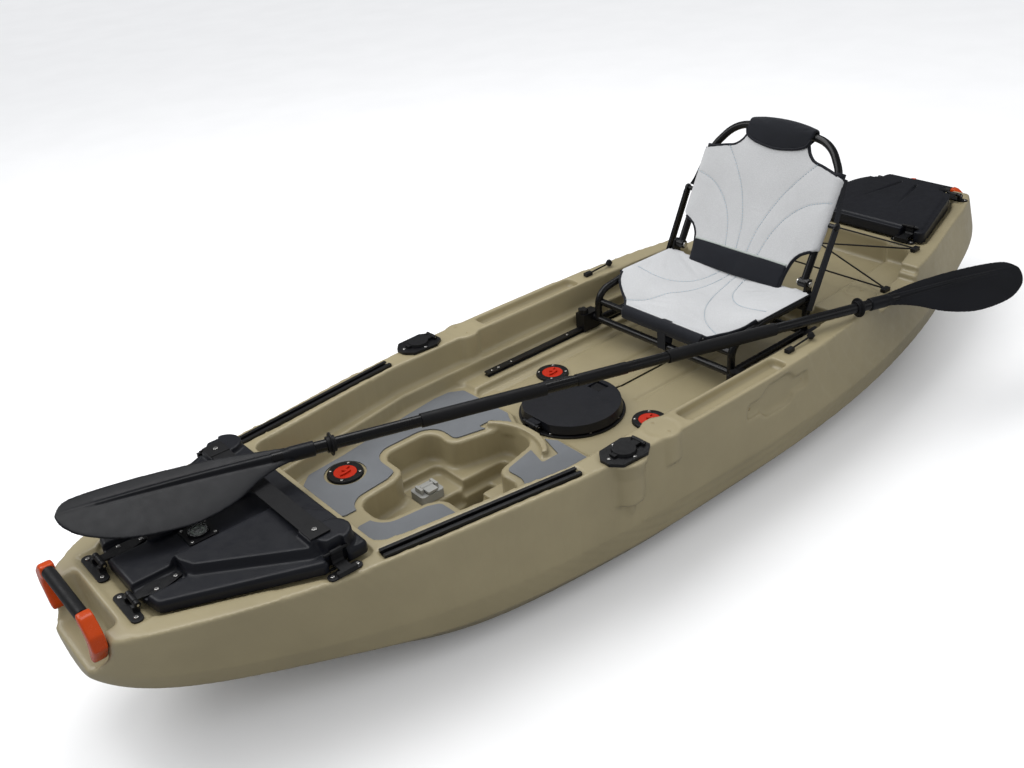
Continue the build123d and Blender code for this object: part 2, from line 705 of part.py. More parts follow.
with BuildPart() as track_screws:
    for side in (1, -1):
        with BuildSketch(track_plane(side).offset(3)):
            with Locations(*[(x, 0) for x in track_screws_at]):
                Circle(4.4)
        extrude(amount=2)
        with BuildSketch(track_plane(side)):
            with Locations(*[(x, 0) for x in track_screws_at]):
                Circle(screw_hole_radius - fit)
        extrude(amount=3)

# ---- rod holders ---------------------------------------------------------------------------------
rod_deck = 340
rod_bore = 21
flange_top = rod_deck + 8
cap_pivot = (-47, 354)           # the cap's hinge axis: offset aft of the bore, and height
flange_shape = [(62, 14), (40, 40), (-34, 44), (-62, 24), (-62, -24), (-34, -44), (40, -40), (62, -14)]

with BuildPart() as rod_holders:
    for x, y in both_sides(rod_holder_at):
        hinge_x = x + cap_pivot[0]
        add(prism([(x + u, y + v) for u, v in flange_shape], rod_deck, flange_top, 8))
        add(disc(x, y, rod_socket_z, rod_deck, 24.4))
        for v in (-15, 15):
            add(block(hinge_x - 5, hinge_x + 5, y + v - 4, y + v + 4, flange_top, cap_pivot[1]))
            add(cross_bar(hinge_x, y + v, cap_pivot[1], 4, 5))
        add(disc(x, y, rod_socket_z + 6, above_deck, rod_bore), mode=Mode.SUBTRACT)
        add(cross_bar(hinge_x, y, cap_pivot[1], 30, 2 + fit), mode=Mode.SUBTRACT)
        for u, v in ((48, 0), (0, 35), (0, -35)):
            add(disc(x + u, y + v, rod_deck, flange_top, screw_hole_radius), mode=Mode.SUBTRACT)

with BuildPart() as rod_cap_pins:
    for x, y in both_sides(rod_holder_at):
        add(cross_bar(x + cap_pivot[0], y, cap_pivot[1], 19, 2))


def rod_cap(side):
    """A flip cap with a shallow plug, on a hinge behind the bore."""
    x, y = rod_holder_at[0], side * rod_holder_at[1]
    hinge_x, hinge_z = x + cap_pivot[0], cap_pivot[1]
    with BuildPart() as cap:
        add(disc(x, y, flange_top + gap, flange_top + 8, 30, 28))
        add(disc(x, y, flange_top - 6, flange_top + gap, 17))
        add(block(hinge_x + 3, x - 20, y - 10.5, y + 10.5, flange_top + 2, flange_top + 7))
        add(cross_bar(hinge_x, y, hinge_z, 10.5, 5))
        add(block(x + 26, x + 38, y - 8, y + 8, flange_top + 1.5, flange_top + 6))
        add(cross_bar(hinge_x, y, hinge_z, 30, 2 + fit), mode=Mode.SUBTRACT)
    return cap


rod_cap_port = rod_cap(1)
rod_cap_starboard = rod_cap(-1)

# ---- scuppers ------------------------------------------------------------------------------------
flange_radius = 47.5
with BuildPart() as scupper_flanges:
    for x, y, z in scuppers:
        add(disc(x, y, z, z + 7, flange_radius, flange_radius - 2))
        add(disc(x, y, z - 30, z, 21.9))
        add(disc(x, y, z + 1.5, z + 8, 30), mode=Mode.SUBTRACT)
        add(disc(x, y, z - 30, z + 2, 18), mode=Mode.SUBTRACT)
        with BuildSketch(Plane((x, y, z))):
            with PolarLocations(38.5, 4, 45):
                Circle(screw_hole_radius)
        extrude(amount=8, mode=Mode.SUBTRACT)


plug_grip = [(-20, -10), (-6, -12), (6, -6), (-2, 5), (16, 4), (20, 10), (6, 12), (-12, 8), (-5, -4)]


def scupper_plug(x, y, z):
    """A red plug with a raised S-shaped grip, turning in its flange."""
    with BuildPart() as plug:
        add(disc(x, y, z + 1.6, z + 6.5, 29.4))
        add(disc(x, y, z - 20, z + 1.6, 17.9))
        add(disc(x, y, z - 20, z - 4, 14), mode=Mode.SUBTRACT)
        with BuildSketch(Plane((x, y, z + 6.5))):
            with BuildLine():
                Polyline(*plug_grip, close=True)
            make_face()
        extrude(amount=4.5)
    return plug


scupper_plug_front, scupper_plug_port, scupper_plug_starboard = [scupper_plug(*place) for place in scuppers]

# ---- round floor hatch ---------------------------------------------------------------------------
hx, hy = hatch_at
hatch_hinge = (hx + 145, 224)    # x and z of the hinge axis
hatch_lid_top = 233
with BuildPart() as floor_hatch_ring:
    add(disc(hx, hy, floor_z, floor_z + 6, 144))
    add(block(hx + 118, hx + 156, -30, 30, floor_z, floor_z + 6))
    add(disc(hx, hy, floor_z - 14, floor_z + 14, 111.9))
    for v in (-24, 24):
        add(block(hatch_hinge[0] - 6, hatch_hinge[0] + 6, v - 5, v + 5, floor_z, hatch_hinge[1]))
        add(cross_bar(hatch_hinge[0], v, hatch_hinge[1], 5, 6))
    add(disc(hx, hy, floor_z - 20, floor_z + 20, 106), mode=Mode.SUBTRACT)
    add(cross_bar(hatch_hinge[0], 0, hatch_hinge[1], 40, 2 + fit), mode=Mode.SUBTRACT)
    with BuildSketch(Plane((hx, hy, floor_z))):
        with PolarLocations(134, 8, 22.5):
            Circle(screw_hole_radius)
    extrude(amount=8, mode=Mode.SUBTRACT)

with BuildPart() as floor_hatch_pin:
    add(cross_bar(hatch_hinge[0], 0, hatch_hinge[1], 29, 2))

latch_x = hx - 100
with BuildPart() as floor_hatch_lid:
    add(disc(hx, hy, floor_z + 10, hatch_lid_top, 138, 134))
    add(disc(hx, hy, floor_z + 10, hatch_lid_top - 5, 118), mode=Mode.SUBTRACT)
    add(block(hx + 126, hx + 150, -150, 150, floor_z, above_deck), mode=Mode.SUBTRACT)
    add(block(hx + 120, hatch_hinge[0] - 4, -18, 18, hatch_hinge[1] - 3, hatch_hinge[1] + 5))
    add(cross_bar(hatch_hinge[0], 0, hatch_hinge[1], 18, 6))
    add(cross_bar(hatch_hinge[0], 0, hatch_hinge[1], 40, 2 + fit), mode=Mode.SUBTRACT)
    add(block(latch_x - 24, latch_x + 24, -26, 26, hatch_lid_top - 12, hatch_lid_top - 5))
    add(block(latch_x - 20, latch_x + 20, -22, 22, hatch_lid_top - 9, above_deck), mode=Mode.SUBTRACT)
    add(cross_bar(latch_x - 14, 0, 228, 24, 2 + fit), mode=Mode.SUBTRACT)

with BuildPart() as floor_hatch_latch:
    add(block(latch_x - 14, latch_x + 17, -19, 19, 226, 230))
    add(cross_bar(latch_x - 14, 0, 228, 21.5, 2))
    fillet(floor_hatch_latch.edges().filter_by(Axis.Z).group_by(Axis.X)[-1], 12)

# ---- pedal-drive dock ----------------------------------------------------------------------------
dock_x, dock_y = 634, -78
dock_base = dock_ledge_z
lever_z = dock_base + 32
with BuildPart() as drive_dock:
    with BuildSketch(Plane((dock_x, dock_y, dock_base))):
        RectangleRounded(70, 56, 8)
    extrude(amount=24)
    with BuildSketch(Plane((dock_x, dock_y, dock_base + 14))):
        Rectangle(16, 30)
    extrude(amount=40, mode=Mode.SUBTRACT)
    for cheek in (dock_x - 23, dock_x + 23):
        add(block(cheek - 4, cheek + 4, dock_y - 14, dock_y + 14, dock_base + 24, dock_base + 38))
    add(bar((dock_x - 40, dock_y, lever_z), (dock_x + 40, dock_y, lever_z), 2.5 + fit), mode=Mode.SUBTRACT)

with BuildPart() as drive_dock_lever:
    add(bar((dock_x - 26, dock_y, lever_z), (dock_x + 26, dock_y, lever_z), 2.5))
    add(bar((dock_x - 18, dock_y, lever_z), (dock_x + 18, dock_y, lever_z), 6))
    add(block(dock_x - 15, dock_x + 15, dock_y, dock_y + 30, lever_z - 3, lever_z + 3))

# ---- deck pads -----------------------------------------------------------------------------------
pad_thickness = 3
pad_edge = [
    (908, 30), (905, 212), (870, 244), (760, 256), (519, 298), (425, 311), (376, 309), (340, 286), (334, 30),
]
ridge_gap = [(432, -106), (388, -106), (338, 20), (376, 146), (430, 146), (394, 20)]     # clear of the rib
with BuildPart() as deck_pads:
    for side in (1, -1):
        with BuildSketch(Plane.XY.offset(foot_deck_z)):
            add(outline([(x, side * y) for x, y in pad_edge], 12))
            add(outline(well_cross, 36, 20), mode=Mode.SUBTRACT)
            with Locations(scuppers[0][:2]):
                Circle(54, mode=Mode.SUBTRACT)
            with Locations(hatch_at):
                Circle(174, mode=Mode.SUBTRACT)
            add(outline(ridge_gap, 6), mode=Mode.SUBTRACT)
        extrude(amount=pad_thickness)

# ---- seat ----------------------------------------------------------------------------------------
rail_y = 290
rail_top = rail_deck_z + 13
tube_radius = 11
front_bar = (-158, 263)          # x and z of the base frame's front crossbar
rear_bar = (-478, 263)
side_tube_y = 252
sling_front = (-167, 317)
sling_z = 366
rear_stay_z = 338                # crossbar under the sagging rear of the sling
back_pivot = (-497, 402)
recline = 27.6                   # the backrest's lean from upright
bolt_radius = 4

with BuildPart() as seat_rails:
    for side in (1, -1):
        add(block(-520, 252, side * rail_y - 10, side * rail_y + 10, rail_top - 5, rail_top))
        add(block(-520, 252, side * rail_y - 5, side * rail_y + 5, rail_deck_z + 3, rail_top - 5))
        add(block(-520, 252, side * rail_y - 10, side * rail_y + 10, rail_deck_z, rail_deck_z + 3))
        for x in rail_screws_at:
            add(disc(x, side * rail_y, rail_top - 2.5, rail_top, 4.6), mode=Mode.SUBTRACT)
            add(disc(x, side * rail_y, rail_deck_z, rail_top, screw_hole_radius), mode=Mode.SUBTRACT)

with BuildPart() as seat_clamps:
    for side in (1, -1):
        for x, _ in (front_bar, rear_bar):
            add(block(x - 20, x + 42, side * rail_y - 18, side * rail_y + 18, rail_deck_z + 4, 280))
            inner, outer = side * rail_y - 10 - gap, side * rail_y + 10 + gap
            add(block(x - 30, x + 50, inner, outer, rail_deck_z, rail_top + gap),
                mode=Mode.SUBTRACT)
            add(cross_bar(x, side * rail_y, front_bar[1], 30, tube_radius + fit),
                mode=Mode.SUBTRACT)
            add(disc(x + 28, side * rail_y, 262, 300, bolt_radius + fit), mode=Mode.SUBTRACT)


def star_knob(side):
    """A five-lobed clamp knob with its screw."""
    x, y = front_bar[0] + 28, side * rail_y
    with BuildPart() as knob:
        with BuildSketch(Plane((x, y, 280 + gap))):
            Circle(12)
            with PolarLocations(11, 5):
                Circle(5)
        extrude(amount=13)
        add(disc(x, y, 264, 281, bolt_radius))
    return knob


seat_knob_port = star_knob(1)
seat_knob_starboard = star_knob(-1)

with BuildPart() as seat_frame:
    for x, z in (front_bar, rear_bar):
        add(bar((x, -rail_y - 17, z), (x, rail_y + 17, z), tube_radius))
    for x, z in (sling_front, (rear_bar[0], rear_stay_z)):
        add(bar((x, -side_tube_y, z), (x, side_tube_y, z), tube_radius - 1))
    for side in (1, -1):
        y = side * side_tube_y
        add(bar((front_bar[0], y, front_bar[1]), (rear_bar[0], y, rear_bar[1]), tube_radius - 0.6))
        add(bar((rear_bar[0], y, rear_bar[1]), (rear_bar[0], y, sling_z), tube_radius - 1.4))
        knee = [(front_bar[0], y, front_bar[1]), (-160, y, 348), (-280, y, sling_z), (-510, y, sling_z)]
        add(bent_tube(knee, tube_radius - 0.3, 46))
        bracket = [(-508, sling_z - 8), (-470, sling_z - 8), (-484, 412), (-497, 417), (-510, 412)]
        with BuildSketch(Plane(origin=(0, y - side * 11, 0), x_dir=(1, 0, 0), z_dir=(0, -1, 0))):
            with BuildLine():
                Polyline(*bracket, close=True)
            make_face()
        extrude(amount=-6 * side)
        add(bar((back_pivot[0], y - side * 30, back_pivot[1]), (back_pivot[0], y + side * 10, back_pivot[1]),
                bolt_radius + fit), mode=Mode.SUBTRACT)

with BuildPart() as seat_bolts:
    for side in (1, -1):
        x, z = back_pivot
        add(bar((x, side * 214, z), (x, side * 250, z), bolt_radius))
        add(bar((x, side * 247, z), (x, side * 252, z), 8))
        add(bar((x, side * 209, z), (x, side * 214.5, z), 8))

with BuildPart() as seat_sling:
    with BuildSketch(Plane.XZ.offset(-234)):
        with BuildLine():
            Polyline((-464, sling_z - 5), (-262, sling_z - 5), (-184, 318), (-180, 328), (-258, sling_z + 5),
                     (-464, sling_z + 5), close=True)
        make_face()
    extrude(amount=468)

back_plane = Plane(
    origin=(back_pivot[0], 0, back_pivot[1]),
    x_dir=(0, 1, 0),
    z_dir=(cos(radians(recline)), 0, sin(radians(recline))),
)
back_tube_y = 228
back_top = 408


def on_back(across, up, forward=0):
    """A point given in the backrest's own plane."""
    return back_plane.from_local_coords(Vector(across, up, forward))


with BuildPart() as seat_back_frame:
    half_hoop = [(back_tube_y, 0), (back_tube_y, 304), (168, 384)]
    hoop = [(-y, up) for y, up in half_hoop] + [(0, back_top)] + half_hoop[::-1]
    add(bent_tube([on_back(*p) for p in hoop], tube_radius, 105))
    add(bar(on_back(-back_tube_y, 106, -18), on_back(back_tube_y, 106, -18), 8))
    for side in (1, -1):
        x, z = back_pivot
        add(bar((x, side * 215, z), (x, side * 240, z), 13))
        add(bar(on_back(side * back_tube_y, 169), on_back(side * 264, 169), 7))
        add(bar(on_back(side * 262, 169), on_back(side * 271, 169), bolt_radius))
        add(bar((x, side * 200, z), (x, side * 250, z), bolt_radius + fit), mode=Mode.SUBTRACT)


def back_panel(points, forward, thickness, radius):
    """A flat panel lying in the backrest's plane."""
    with BuildPart() as panel:
        with BuildSketch(back_plane.offset(forward)):
            add(outline(points, radius))
        extrude(amount=thickness)
    return panel


panel_edge = [(-164, 32), (-212, 96), (-210, 284), (-130, 366), (130, 366), (210, 284), (212, 96), (164, 32)]
patch_edge = [(-118, 388), (-104, 352), (0, 334), (104, 352), (118, 388), (0, 404)]
seat_back_panel = back_panel(panel_edge, -6, 12, 12)
lumbar_band = back_panel([(-160, -18), (-160, 24), (160, 24), (160, -18)], -6, 12, 6)
headrest_patch = back_panel(patch_edge, 12.5, 8, 10)

# The struts hang from the backrest's side studs to the seat frame's rear corners.
strut_foot = (-467, 331)
with BuildPart() as seat_struts:
    top = on_back(0, 169)
    length = hypot(top.X - strut_foot[0], top.Z - strut_foot[1])
    angle = atan2(strut_foot[1] - top.Z, strut_foot[0] - top.X)
    for side in (1, -1):
        along_strut = (cos(angle), 0, sin(angle))
        with BuildSketch(Plane(origin=(top.X, side * 264.5, top.Z), x_dir=along_strut, z_dir=(0, side, 0))):
            with Locations((length / 2, 0)):
                SlotCenterToCenter(length, 22)
            Circle(bolt_radius + fit, mode=Mode.SUBTRACT)
            with Locations((length, 0)):
                Circle(bolt_radius + fit, mode=Mode.SUBTRACT)
        extrude(amount=5)

# ---- paddle --------------------------------------------------------------------------------------
shaft_radius = 14
front_ring = Vector(913, -3, 436)
rear_ring = Vector(-520, 392, 367)
neck_gap = 74                    # from a drip ring to the blade's neck
blade_tilt = 22
ring_span = (rear_ring - front_ring).length
shaft_dir = (rear_ring - front_ring).normalized()
level_side = Vector(0, 0, 1).cross(shaft_dir).normalized()
face_up = shaft_dir.cross(level_side)
lean = radians(blade_tilt)
face_dir = face_up * cos(lean) - level_side * sin(lean)
paddle_plane = Plane(origin=front_ring, x_dir=shaft_dir, z_dir=face_dir)


def on_shaft(along, radius, length, bore=0):
    """A round sleeve on the paddle's axis, starting at a distance aft of the front drip ring."""
    with BuildPart() as sleeve:
        with BuildSketch(Plane(origin=front_ring + shaft_dir * along, z_dir=shaft_dir)):
            Circle(radius)
            if bore:
                Circle(bore, mode=Mode.SUBTRACT)
        extrude(amount=length)
    return sleeve.part


joint_at = 690                   # where the two shaft halves meet
grips_at = ((215, 320), (880, 330))
with BuildPart() as paddle_shaft:
    add(on_shaft(-neck_gap - 60, shaft_radius, joint_at + neck_gap + 60))
    add(on_shaft(joint_at, shaft_radius, ring_span + neck_gap + 60 - joint_at))

with BuildPart() as paddle_ferrule:
    add(on_shaft(joint_at - 70, shaft_radius + 1.5, 140, shaft_radius))

with BuildPart() as paddle_grips:
    for start, length in grips_at:
        add(on_shaft(start, shaft_radius + 3, length, shaft_radius))

with BuildPart() as drip_rings:
    for along in (0, ring_span):
        add(on_shaft(along - 2, 27, 4, shaft_radius))
        add(on_shaft(along - 10, shaft_radius + 5, 20, shaft_radius))

blade_edge = [(0, 17), (60, 25), (160, 36), (300, 41), (420, 39), (480, 32), (507, 14), (512, -6), (502, -34),
              (468, -68), (400, -100), (320, -114), (240, -113), (160, -88), (100, -50), (50, -28), (0, -17)]


spine_shape = [(0, 16), (450, 3), (450, -3), (0, -16)]
blade_thickness = 5
spine_thickness = 16
socket_radius = 18


def blade(neck, direction):
    """An asymmetric blade with a stiffening spine and a socket over the shaft's end.

    Its shape is given from the neck outward, and direction says which way along the shaft that is.
    """
    with BuildPart() as leaf:
        with BuildSketch(paddle_plane.offset(-blade_thickness / 2)):
            with BuildLine():
                Spline(*[(neck + direction * u, v) for u, v in blade_edge])
                Line((neck, -17), (neck, 17))
            make_face()
        extrude(amount=blade_thickness)
        with BuildSketch(paddle_plane.offset(-spine_thickness / 2)):
            with BuildLine():
                Polyline(*[(neck + direction * u, v) for u, v in spine_shape], close=True)
            make_face()
        extrude(amount=spine_thickness)
        add(on_shaft(neck - direction * 3 - 33, socket_radius, 66))
        add(on_shaft(neck - direction * 170 - 230, shaft_radius, 460), mode=Mode.SUBTRACT)
    return leaf.part


with BuildPart() as paddle_blades:
    add(blade(-neck_gap, -1))
    add(blade(ring_span + neck_gap, 1))

# ---- cords, cleats, inserts and screws -----------------------------------------------------------
cord_radius = 2.5
rear_cleat = (-1000, 268, 343)
front_cleat = (-775, 316, 302)
with BuildPart() as cord_cleats:
    for x, y, z in (rear_cleat, front_cleat):
        for side in (1, -1):
            add(block(x - 15, x + 15, side * y - 8, side * y + 8, z, z + 11))

with BuildPart() as bungee_cords:
    for side in (1, -1):
        lift = 8 if side > 0 else 3
        add(bar((rear_cleat[0] + 12, side * (rear_cleat[1] - 10), rear_cleat[2] + 8),
                (front_cleat[0] - 12, -side * (front_cleat[1] - 10), front_cleat[2] + lift), cord_radius))
    for x, y, z in (rear_cleat, front_cleat):
        add(bar((x - 8, -y + 8, z + 4), (x - 8, y - 8, z + 4), cord_radius))

with BuildPart() as keeper_cords:
    for side in (1, -1):
        add(bar((-326, side * 378, 350), (-248, side * 378, 345), cord_radius))
        add(disc(-330, side * 378, 342, 351, 6, 11))
        add(disc(-330, side * 378, 351, 360, 11, 6))
        add(block(-252, -226, side * 378 - 7, side * 378 + 7, 339.5, 350))

with BuildPart() as brass_inserts:
    for x, y, z in both_sides(*upright_inserts):
        add(disc(x, y, z - insert_depth, z, insert_radius))
        add(disc(x, y, z - insert_depth, z, insert_bore), mode=Mode.SUBTRACT)
    for x, z in side_inserts:
        for side in (1, -1):
            add(bar((x, side * (dish_y - insert_depth), z), (x, side * dish_y, z), insert_radius))
            inner, outer = side * (dish_y - insert_depth), side * dish_y
            add(bar((x, inner, z), (x, outer, z), insert_bore), mode=Mode.SUBTRACT)

with BuildPart() as deck_screws:
    for side in (1, -1):
        for (x, _, y), deck, out, (_, hole) in (
            (bow_hinge, bow_plate_z, 1, bow_plate),
            (stern_hinge, stern_plate_z, -1, stern_plate),
        ):
            for v in (-hole, hole):
                add(screw(x + out * 13, side * y + v, deck + plate_thickness))
        for x in rail_screws_at:
            add(screw(x, side * rail_y, rail_top - 2.4, 4.4, 10.6))
    for place, outward, deck, _, _ in bow_latches + stern_latches:
        edge = latch_plane(place, outward).z_dir
        for step in (-29, 29):
            add(screw(place[0] + edge.X * step, place[1] + edge.Y * step, deck + plate_thickness))
    for x, y, z in scuppers:
        for turn in (45, 135, 225, 315):
            add(screw(x + 38.5 * cos(radians(turn)), y + 38.5 * sin(radians(turn)), z + 7, 4, 7))
    for turn in range(8):
        bearing = radians(22.5 + 45 * turn)
        add(screw(hx + 134 * cos(bearing), hy + 134 * sin(bearing), floor_z + 6, 4, 6))
    for x, y in both_sides(rod_holder_at):
        for u, v in ((48, 0), (0, 35), (0, -35)):
            add(screw(x + u, y + v, flange_top, 4.5, 8))

# ---- write every piece ---------------------------------------------------------------------------
pieces = {
    "hull": hull,
    "handle_grips": handle_grips,
    "handle_caps": handle_caps,
    "hatch_hinge_plates": hatch_hinge_plates,
    "hatch_hinge_pins": hatch_hinge_pins,
    "hatch_latch_plates": hatch_latch_plates,
    "hatch_seals": hatch_seals,
    "bow_hatch_lid": bow_hatch_lid,
    "bow_hinge_arms": bow_hinge_arms,
    "bow_lid_strap": bow_lid_strap,
    "bow_lid_screws": bow_lid_screws,
    "bow_latch_port": bow_latch_port,
    "bow_latch_starboard": bow_latch_starboard,
    "compass_base": compass_base,
    "compass_card": compass_card,
    "compass_dome": compass_dome,
    "stern_hatch_lid": stern_hatch_lid,
    "stern_hinge_arms": stern_hinge_arms,
    "stern_lid_screws": stern_lid_screws,
    "stern_latch_port": stern_latch_port,
    "stern_latch_starboard": stern_latch_starboard,
    "gear_tracks": gear_tracks,
    "track_screws": track_screws,
    "rod_holders": rod_holders,
    "rod_cap_pins": rod_cap_pins,
    "rod_cap_port": rod_cap_port,
    "rod_cap_starboard": rod_cap_starboard,
    "scupper_flanges": scupper_flanges,
    "scupper_plug_front": scupper_plug_front,
    "scupper_plug_port": scupper_plug_port,
    "scupper_plug_starboard": scupper_plug_starboard,
    "floor_hatch_ring": floor_hatch_ring,
    "floor_hatch_pin": floor_hatch_pin,
    "floor_hatch_lid": floor_hatch_lid,
    "floor_hatch_latch": floor_hatch_latch,
    "drive_dock": drive_dock,
    "drive_dock_lever": drive_dock_lever,
    "deck_pads": deck_pads,
    "seat_rails": seat_rails,
    "seat_clamps": seat_clamps,
    "seat_knob_port": seat_knob_port,
    "seat_knob_starboard": seat_knob_starboard,
    "seat_frame": seat_frame,
    "seat_bolts": seat_bolts,
    "seat_sling": seat_sling,
    "seat_back_frame": seat_back_frame,
    "seat_back_panel": seat_back_panel,
    "lumbar_band": lumbar_band,
    "headrest_patch": headrest_patch,
    "seat_struts": seat_struts,
    "paddle_shaft": paddle_shaft,
    "paddle_ferrule": paddle_ferrule,
    "paddle_grips": paddle_grips,
    "drip_rings": drip_rings,
    "paddle_blades": paddle_blades,
    "cord_cleats": cord_cleats,
    "bungee_cords": bungee_cords,
    "keeper_cords": keeper_cords,
    "brass_inserts": brass_inserts,
    "deck_screws": deck_screws,
}
for name, piece in pieces.items():
    piece.part.label = name
    export_step(piece.part, f"parts/{name}.step")
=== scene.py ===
import json
import math

import bmesh
import bpy
from mathutils import Matrix, Vector, geometry, kdtree

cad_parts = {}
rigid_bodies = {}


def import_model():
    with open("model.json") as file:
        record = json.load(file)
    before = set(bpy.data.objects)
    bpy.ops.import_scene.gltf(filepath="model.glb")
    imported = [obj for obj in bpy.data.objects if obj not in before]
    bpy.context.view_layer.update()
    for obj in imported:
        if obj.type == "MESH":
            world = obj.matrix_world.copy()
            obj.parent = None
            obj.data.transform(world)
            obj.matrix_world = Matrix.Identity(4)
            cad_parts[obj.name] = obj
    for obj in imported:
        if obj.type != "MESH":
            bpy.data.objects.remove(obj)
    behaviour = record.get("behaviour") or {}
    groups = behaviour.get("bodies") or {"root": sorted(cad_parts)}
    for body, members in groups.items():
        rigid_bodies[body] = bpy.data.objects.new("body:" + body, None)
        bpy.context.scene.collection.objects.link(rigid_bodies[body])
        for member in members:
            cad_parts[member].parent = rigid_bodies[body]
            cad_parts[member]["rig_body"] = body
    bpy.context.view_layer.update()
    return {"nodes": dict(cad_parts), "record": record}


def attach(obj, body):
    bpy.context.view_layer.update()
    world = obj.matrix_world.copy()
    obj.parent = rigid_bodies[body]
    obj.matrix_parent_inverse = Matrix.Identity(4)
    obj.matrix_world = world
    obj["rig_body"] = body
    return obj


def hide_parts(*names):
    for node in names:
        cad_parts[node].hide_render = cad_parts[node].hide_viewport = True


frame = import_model()
nodes = frame["nodes"]
scene = bpy.context.scene


# ---- materials ---------------------------------------------------------------------------------------
def shader(name):
    """A new material with its node tree, its Principled node and a texture coordinate in metres."""
    material = bpy.data.materials.new(name)
    material.use_nodes = True
    tree = material.node_tree
    principled = tree.nodes["Principled BSDF"]
    coordinates = tree.nodes.new("ShaderNodeTexCoord")
    return material, tree, principled, coordinates.outputs["Object"]


def noise_node(tree, where, scale, detail=3.0, rough=0.5):
    node = tree.nodes.new("ShaderNodeTexNoise")
    node.inputs["Scale"].default_value = scale
    node.inputs["Detail"].default_value = detail
    node.inputs["Roughness"].default_value = rough
    tree.links.new(where, node.inputs["Vector"])
    return node.outputs["Fac"]


def ramp(tree, value, low, high, start=0.35, end=0.65):
    """Maps a 0-1 value from the low output to the high one."""
    node = tree.nodes.new("ShaderNodeMapRange")
    tree.links.new(value, node.inputs["Value"])
    node.inputs["From Min"].default_value = start
    node.inputs["From Max"].default_value = end
    node.inputs["To Min"].default_value = low
    node.inputs["To Max"].default_value = high
    return node.outputs["Result"]


def mix_color(tree, factor, a, b, mode="MIX"):
    node = tree.nodes.new("ShaderNodeMix")
    node.data_type = "RGBA"
    node.blend_type = mode
    for value, socket in ((factor, node.inputs[0]), (a, node.inputs[6]), (b, node.inputs[7])):
        if isinstance(value, bpy.types.NodeSocket):
            tree.links.new(value, socket)
        elif isinstance(value, (int, float)):
            socket.default_value = value
        else:
            socket.default_value = (*value, 1)
    return node.outputs[2]


def add_bump(tree, height, distance, strength=1.0, below=None):
    node = tree.nodes.new("ShaderNodeBump")
    node.inputs["Distance"].default_value = distance
    node.inputs["Strength"].default_value = strength
    tree.links.new(height, node.inputs["Height"])
    if below is not None:
        tree.links.new(below, node.inputs["Normal"])
    return node.outputs["Normal"]


def highlight_edge_mask(tree, low=0.52, high=0.60):
    """Close to 1 along sharp outer edges, from the mesh's own curvature."""
    surface_data = tree.nodes.new("ShaderNodeNewGeometry")
    return ramp(tree, surface_data.outputs["Pointiness"], 0, 1, low, high)


def surface(name, color, rough=0.4, spread=0.08, grain=600.0, depth=0.00008, mottle=0.06, metallic=0.0,
            coat=0.0, edge_highlight=None, specular=0.5, patch=6.0):
    """Moulded plastic, rubber, paint or metal: mottled colour, uneven roughness, a fine grain and a painted
    highlight along sharp edges.
    """
    material, tree, principled, place = shader(name)
    link = tree.links.new
    broad = noise_node(tree, place, patch, 4)
    fine = noise_node(tree, place, grain, 2)
    dark = [max(c * (1 - mottle), 0) for c in color]
    light = [min(c * (1 + mottle), 1) for c in color]
    shade = mix_color(tree, ramp(tree, broad, 0, 1), dark, light)
    if edge_highlight:
        # Sharp outer edges are painted lighter: a painted highlight.
        shade = mix_color(tree, highlight_edge_mask(tree), shade, edge_highlight)
    link(shade, principled.inputs["Base Color"])
    uneven = noise_node(tree, place, patch * 7, 5, 0.65)
    link(ramp(tree, uneven, rough - spread, rough + spread), principled.inputs["Roughness"])
    link(add_bump(tree, fine, depth), principled.inputs["Normal"])
    principled.inputs["Metallic"].default_value = metallic
    principled.inputs["Specular IOR Level"].default_value = specular
    principled.inputs["Coat Weight"].default_value = coat
    principled.inputs["Coat Roughness"].default_value = 0.12
    return material


def woven(name, color, pitch=0.0016, depth=0.00025, sheen=0.3, mottle=0.05, rough=0.85, cells=False):
    """Cloth or webbing: crossing yarns, or the open cells of a spacer mesh, with painted shade in the hollows."""
    material, tree, principled, place = shader(name)
    link = tree.links.new
    if cells:
        weave = tree.nodes.new("ShaderNodeTexVoronoi")
        weave.inputs["Scale"].default_value = 1 / pitch
        link(place, weave.inputs["Vector"])
        height = ramp(tree, weave.outputs["Distance"], 1, 0, 0.1, 0.6)
    else:
        waves = []
        for direction in ("X", "Y", "Z"):
            wave = tree.nodes.new("ShaderNodeTexWave")
            wave.bands_direction = direction
            wave.inputs["Scale"].default_value = 0.314 / pitch
            wave.inputs["Distortion"].default_value = 0.6
            link(place, wave.inputs["Vector"])
            waves.append(wave.outputs["Fac"])
        height = waves[0]
        for wave in waves[1:]:
            multiply = tree.nodes.new("ShaderNodeMath")
            multiply.operation = "MAXIMUM"
            link(height, multiply.inputs[0])
            link(wave, multiply.inputs[1])
            height = multiply.outputs[0]
    broad = noise_node(tree, place, 9, 4)
    shade = mix_color(tree, ramp(tree, broad, 0, 1), [c * (1 - mottle) for c in color],
                      [min(1, c * (1 + mottle)) for c in color])
    # The low parts of the weave are painted darker: painted shade in the hollows.
    shade = mix_color(tree, ramp(tree, height, 0.0, 0.28, 0.9, 0.1), shade, [c * 0.55 for c in color])
    link(shade, principled.inputs["Base Color"])
    principled.inputs["Roughness"].default_value = rough
    principled.inputs["Sheen Weight"].default_value = sheen
    principled.inputs["Specular IOR Level"].default_value = 0.25
    soft = noise_node(tree, place, 60, 3)
    link(add_bump(tree, soft, 0.0006, 0.5, add_bump(tree, height, depth)), principled.inputs["Normal"])
    return material


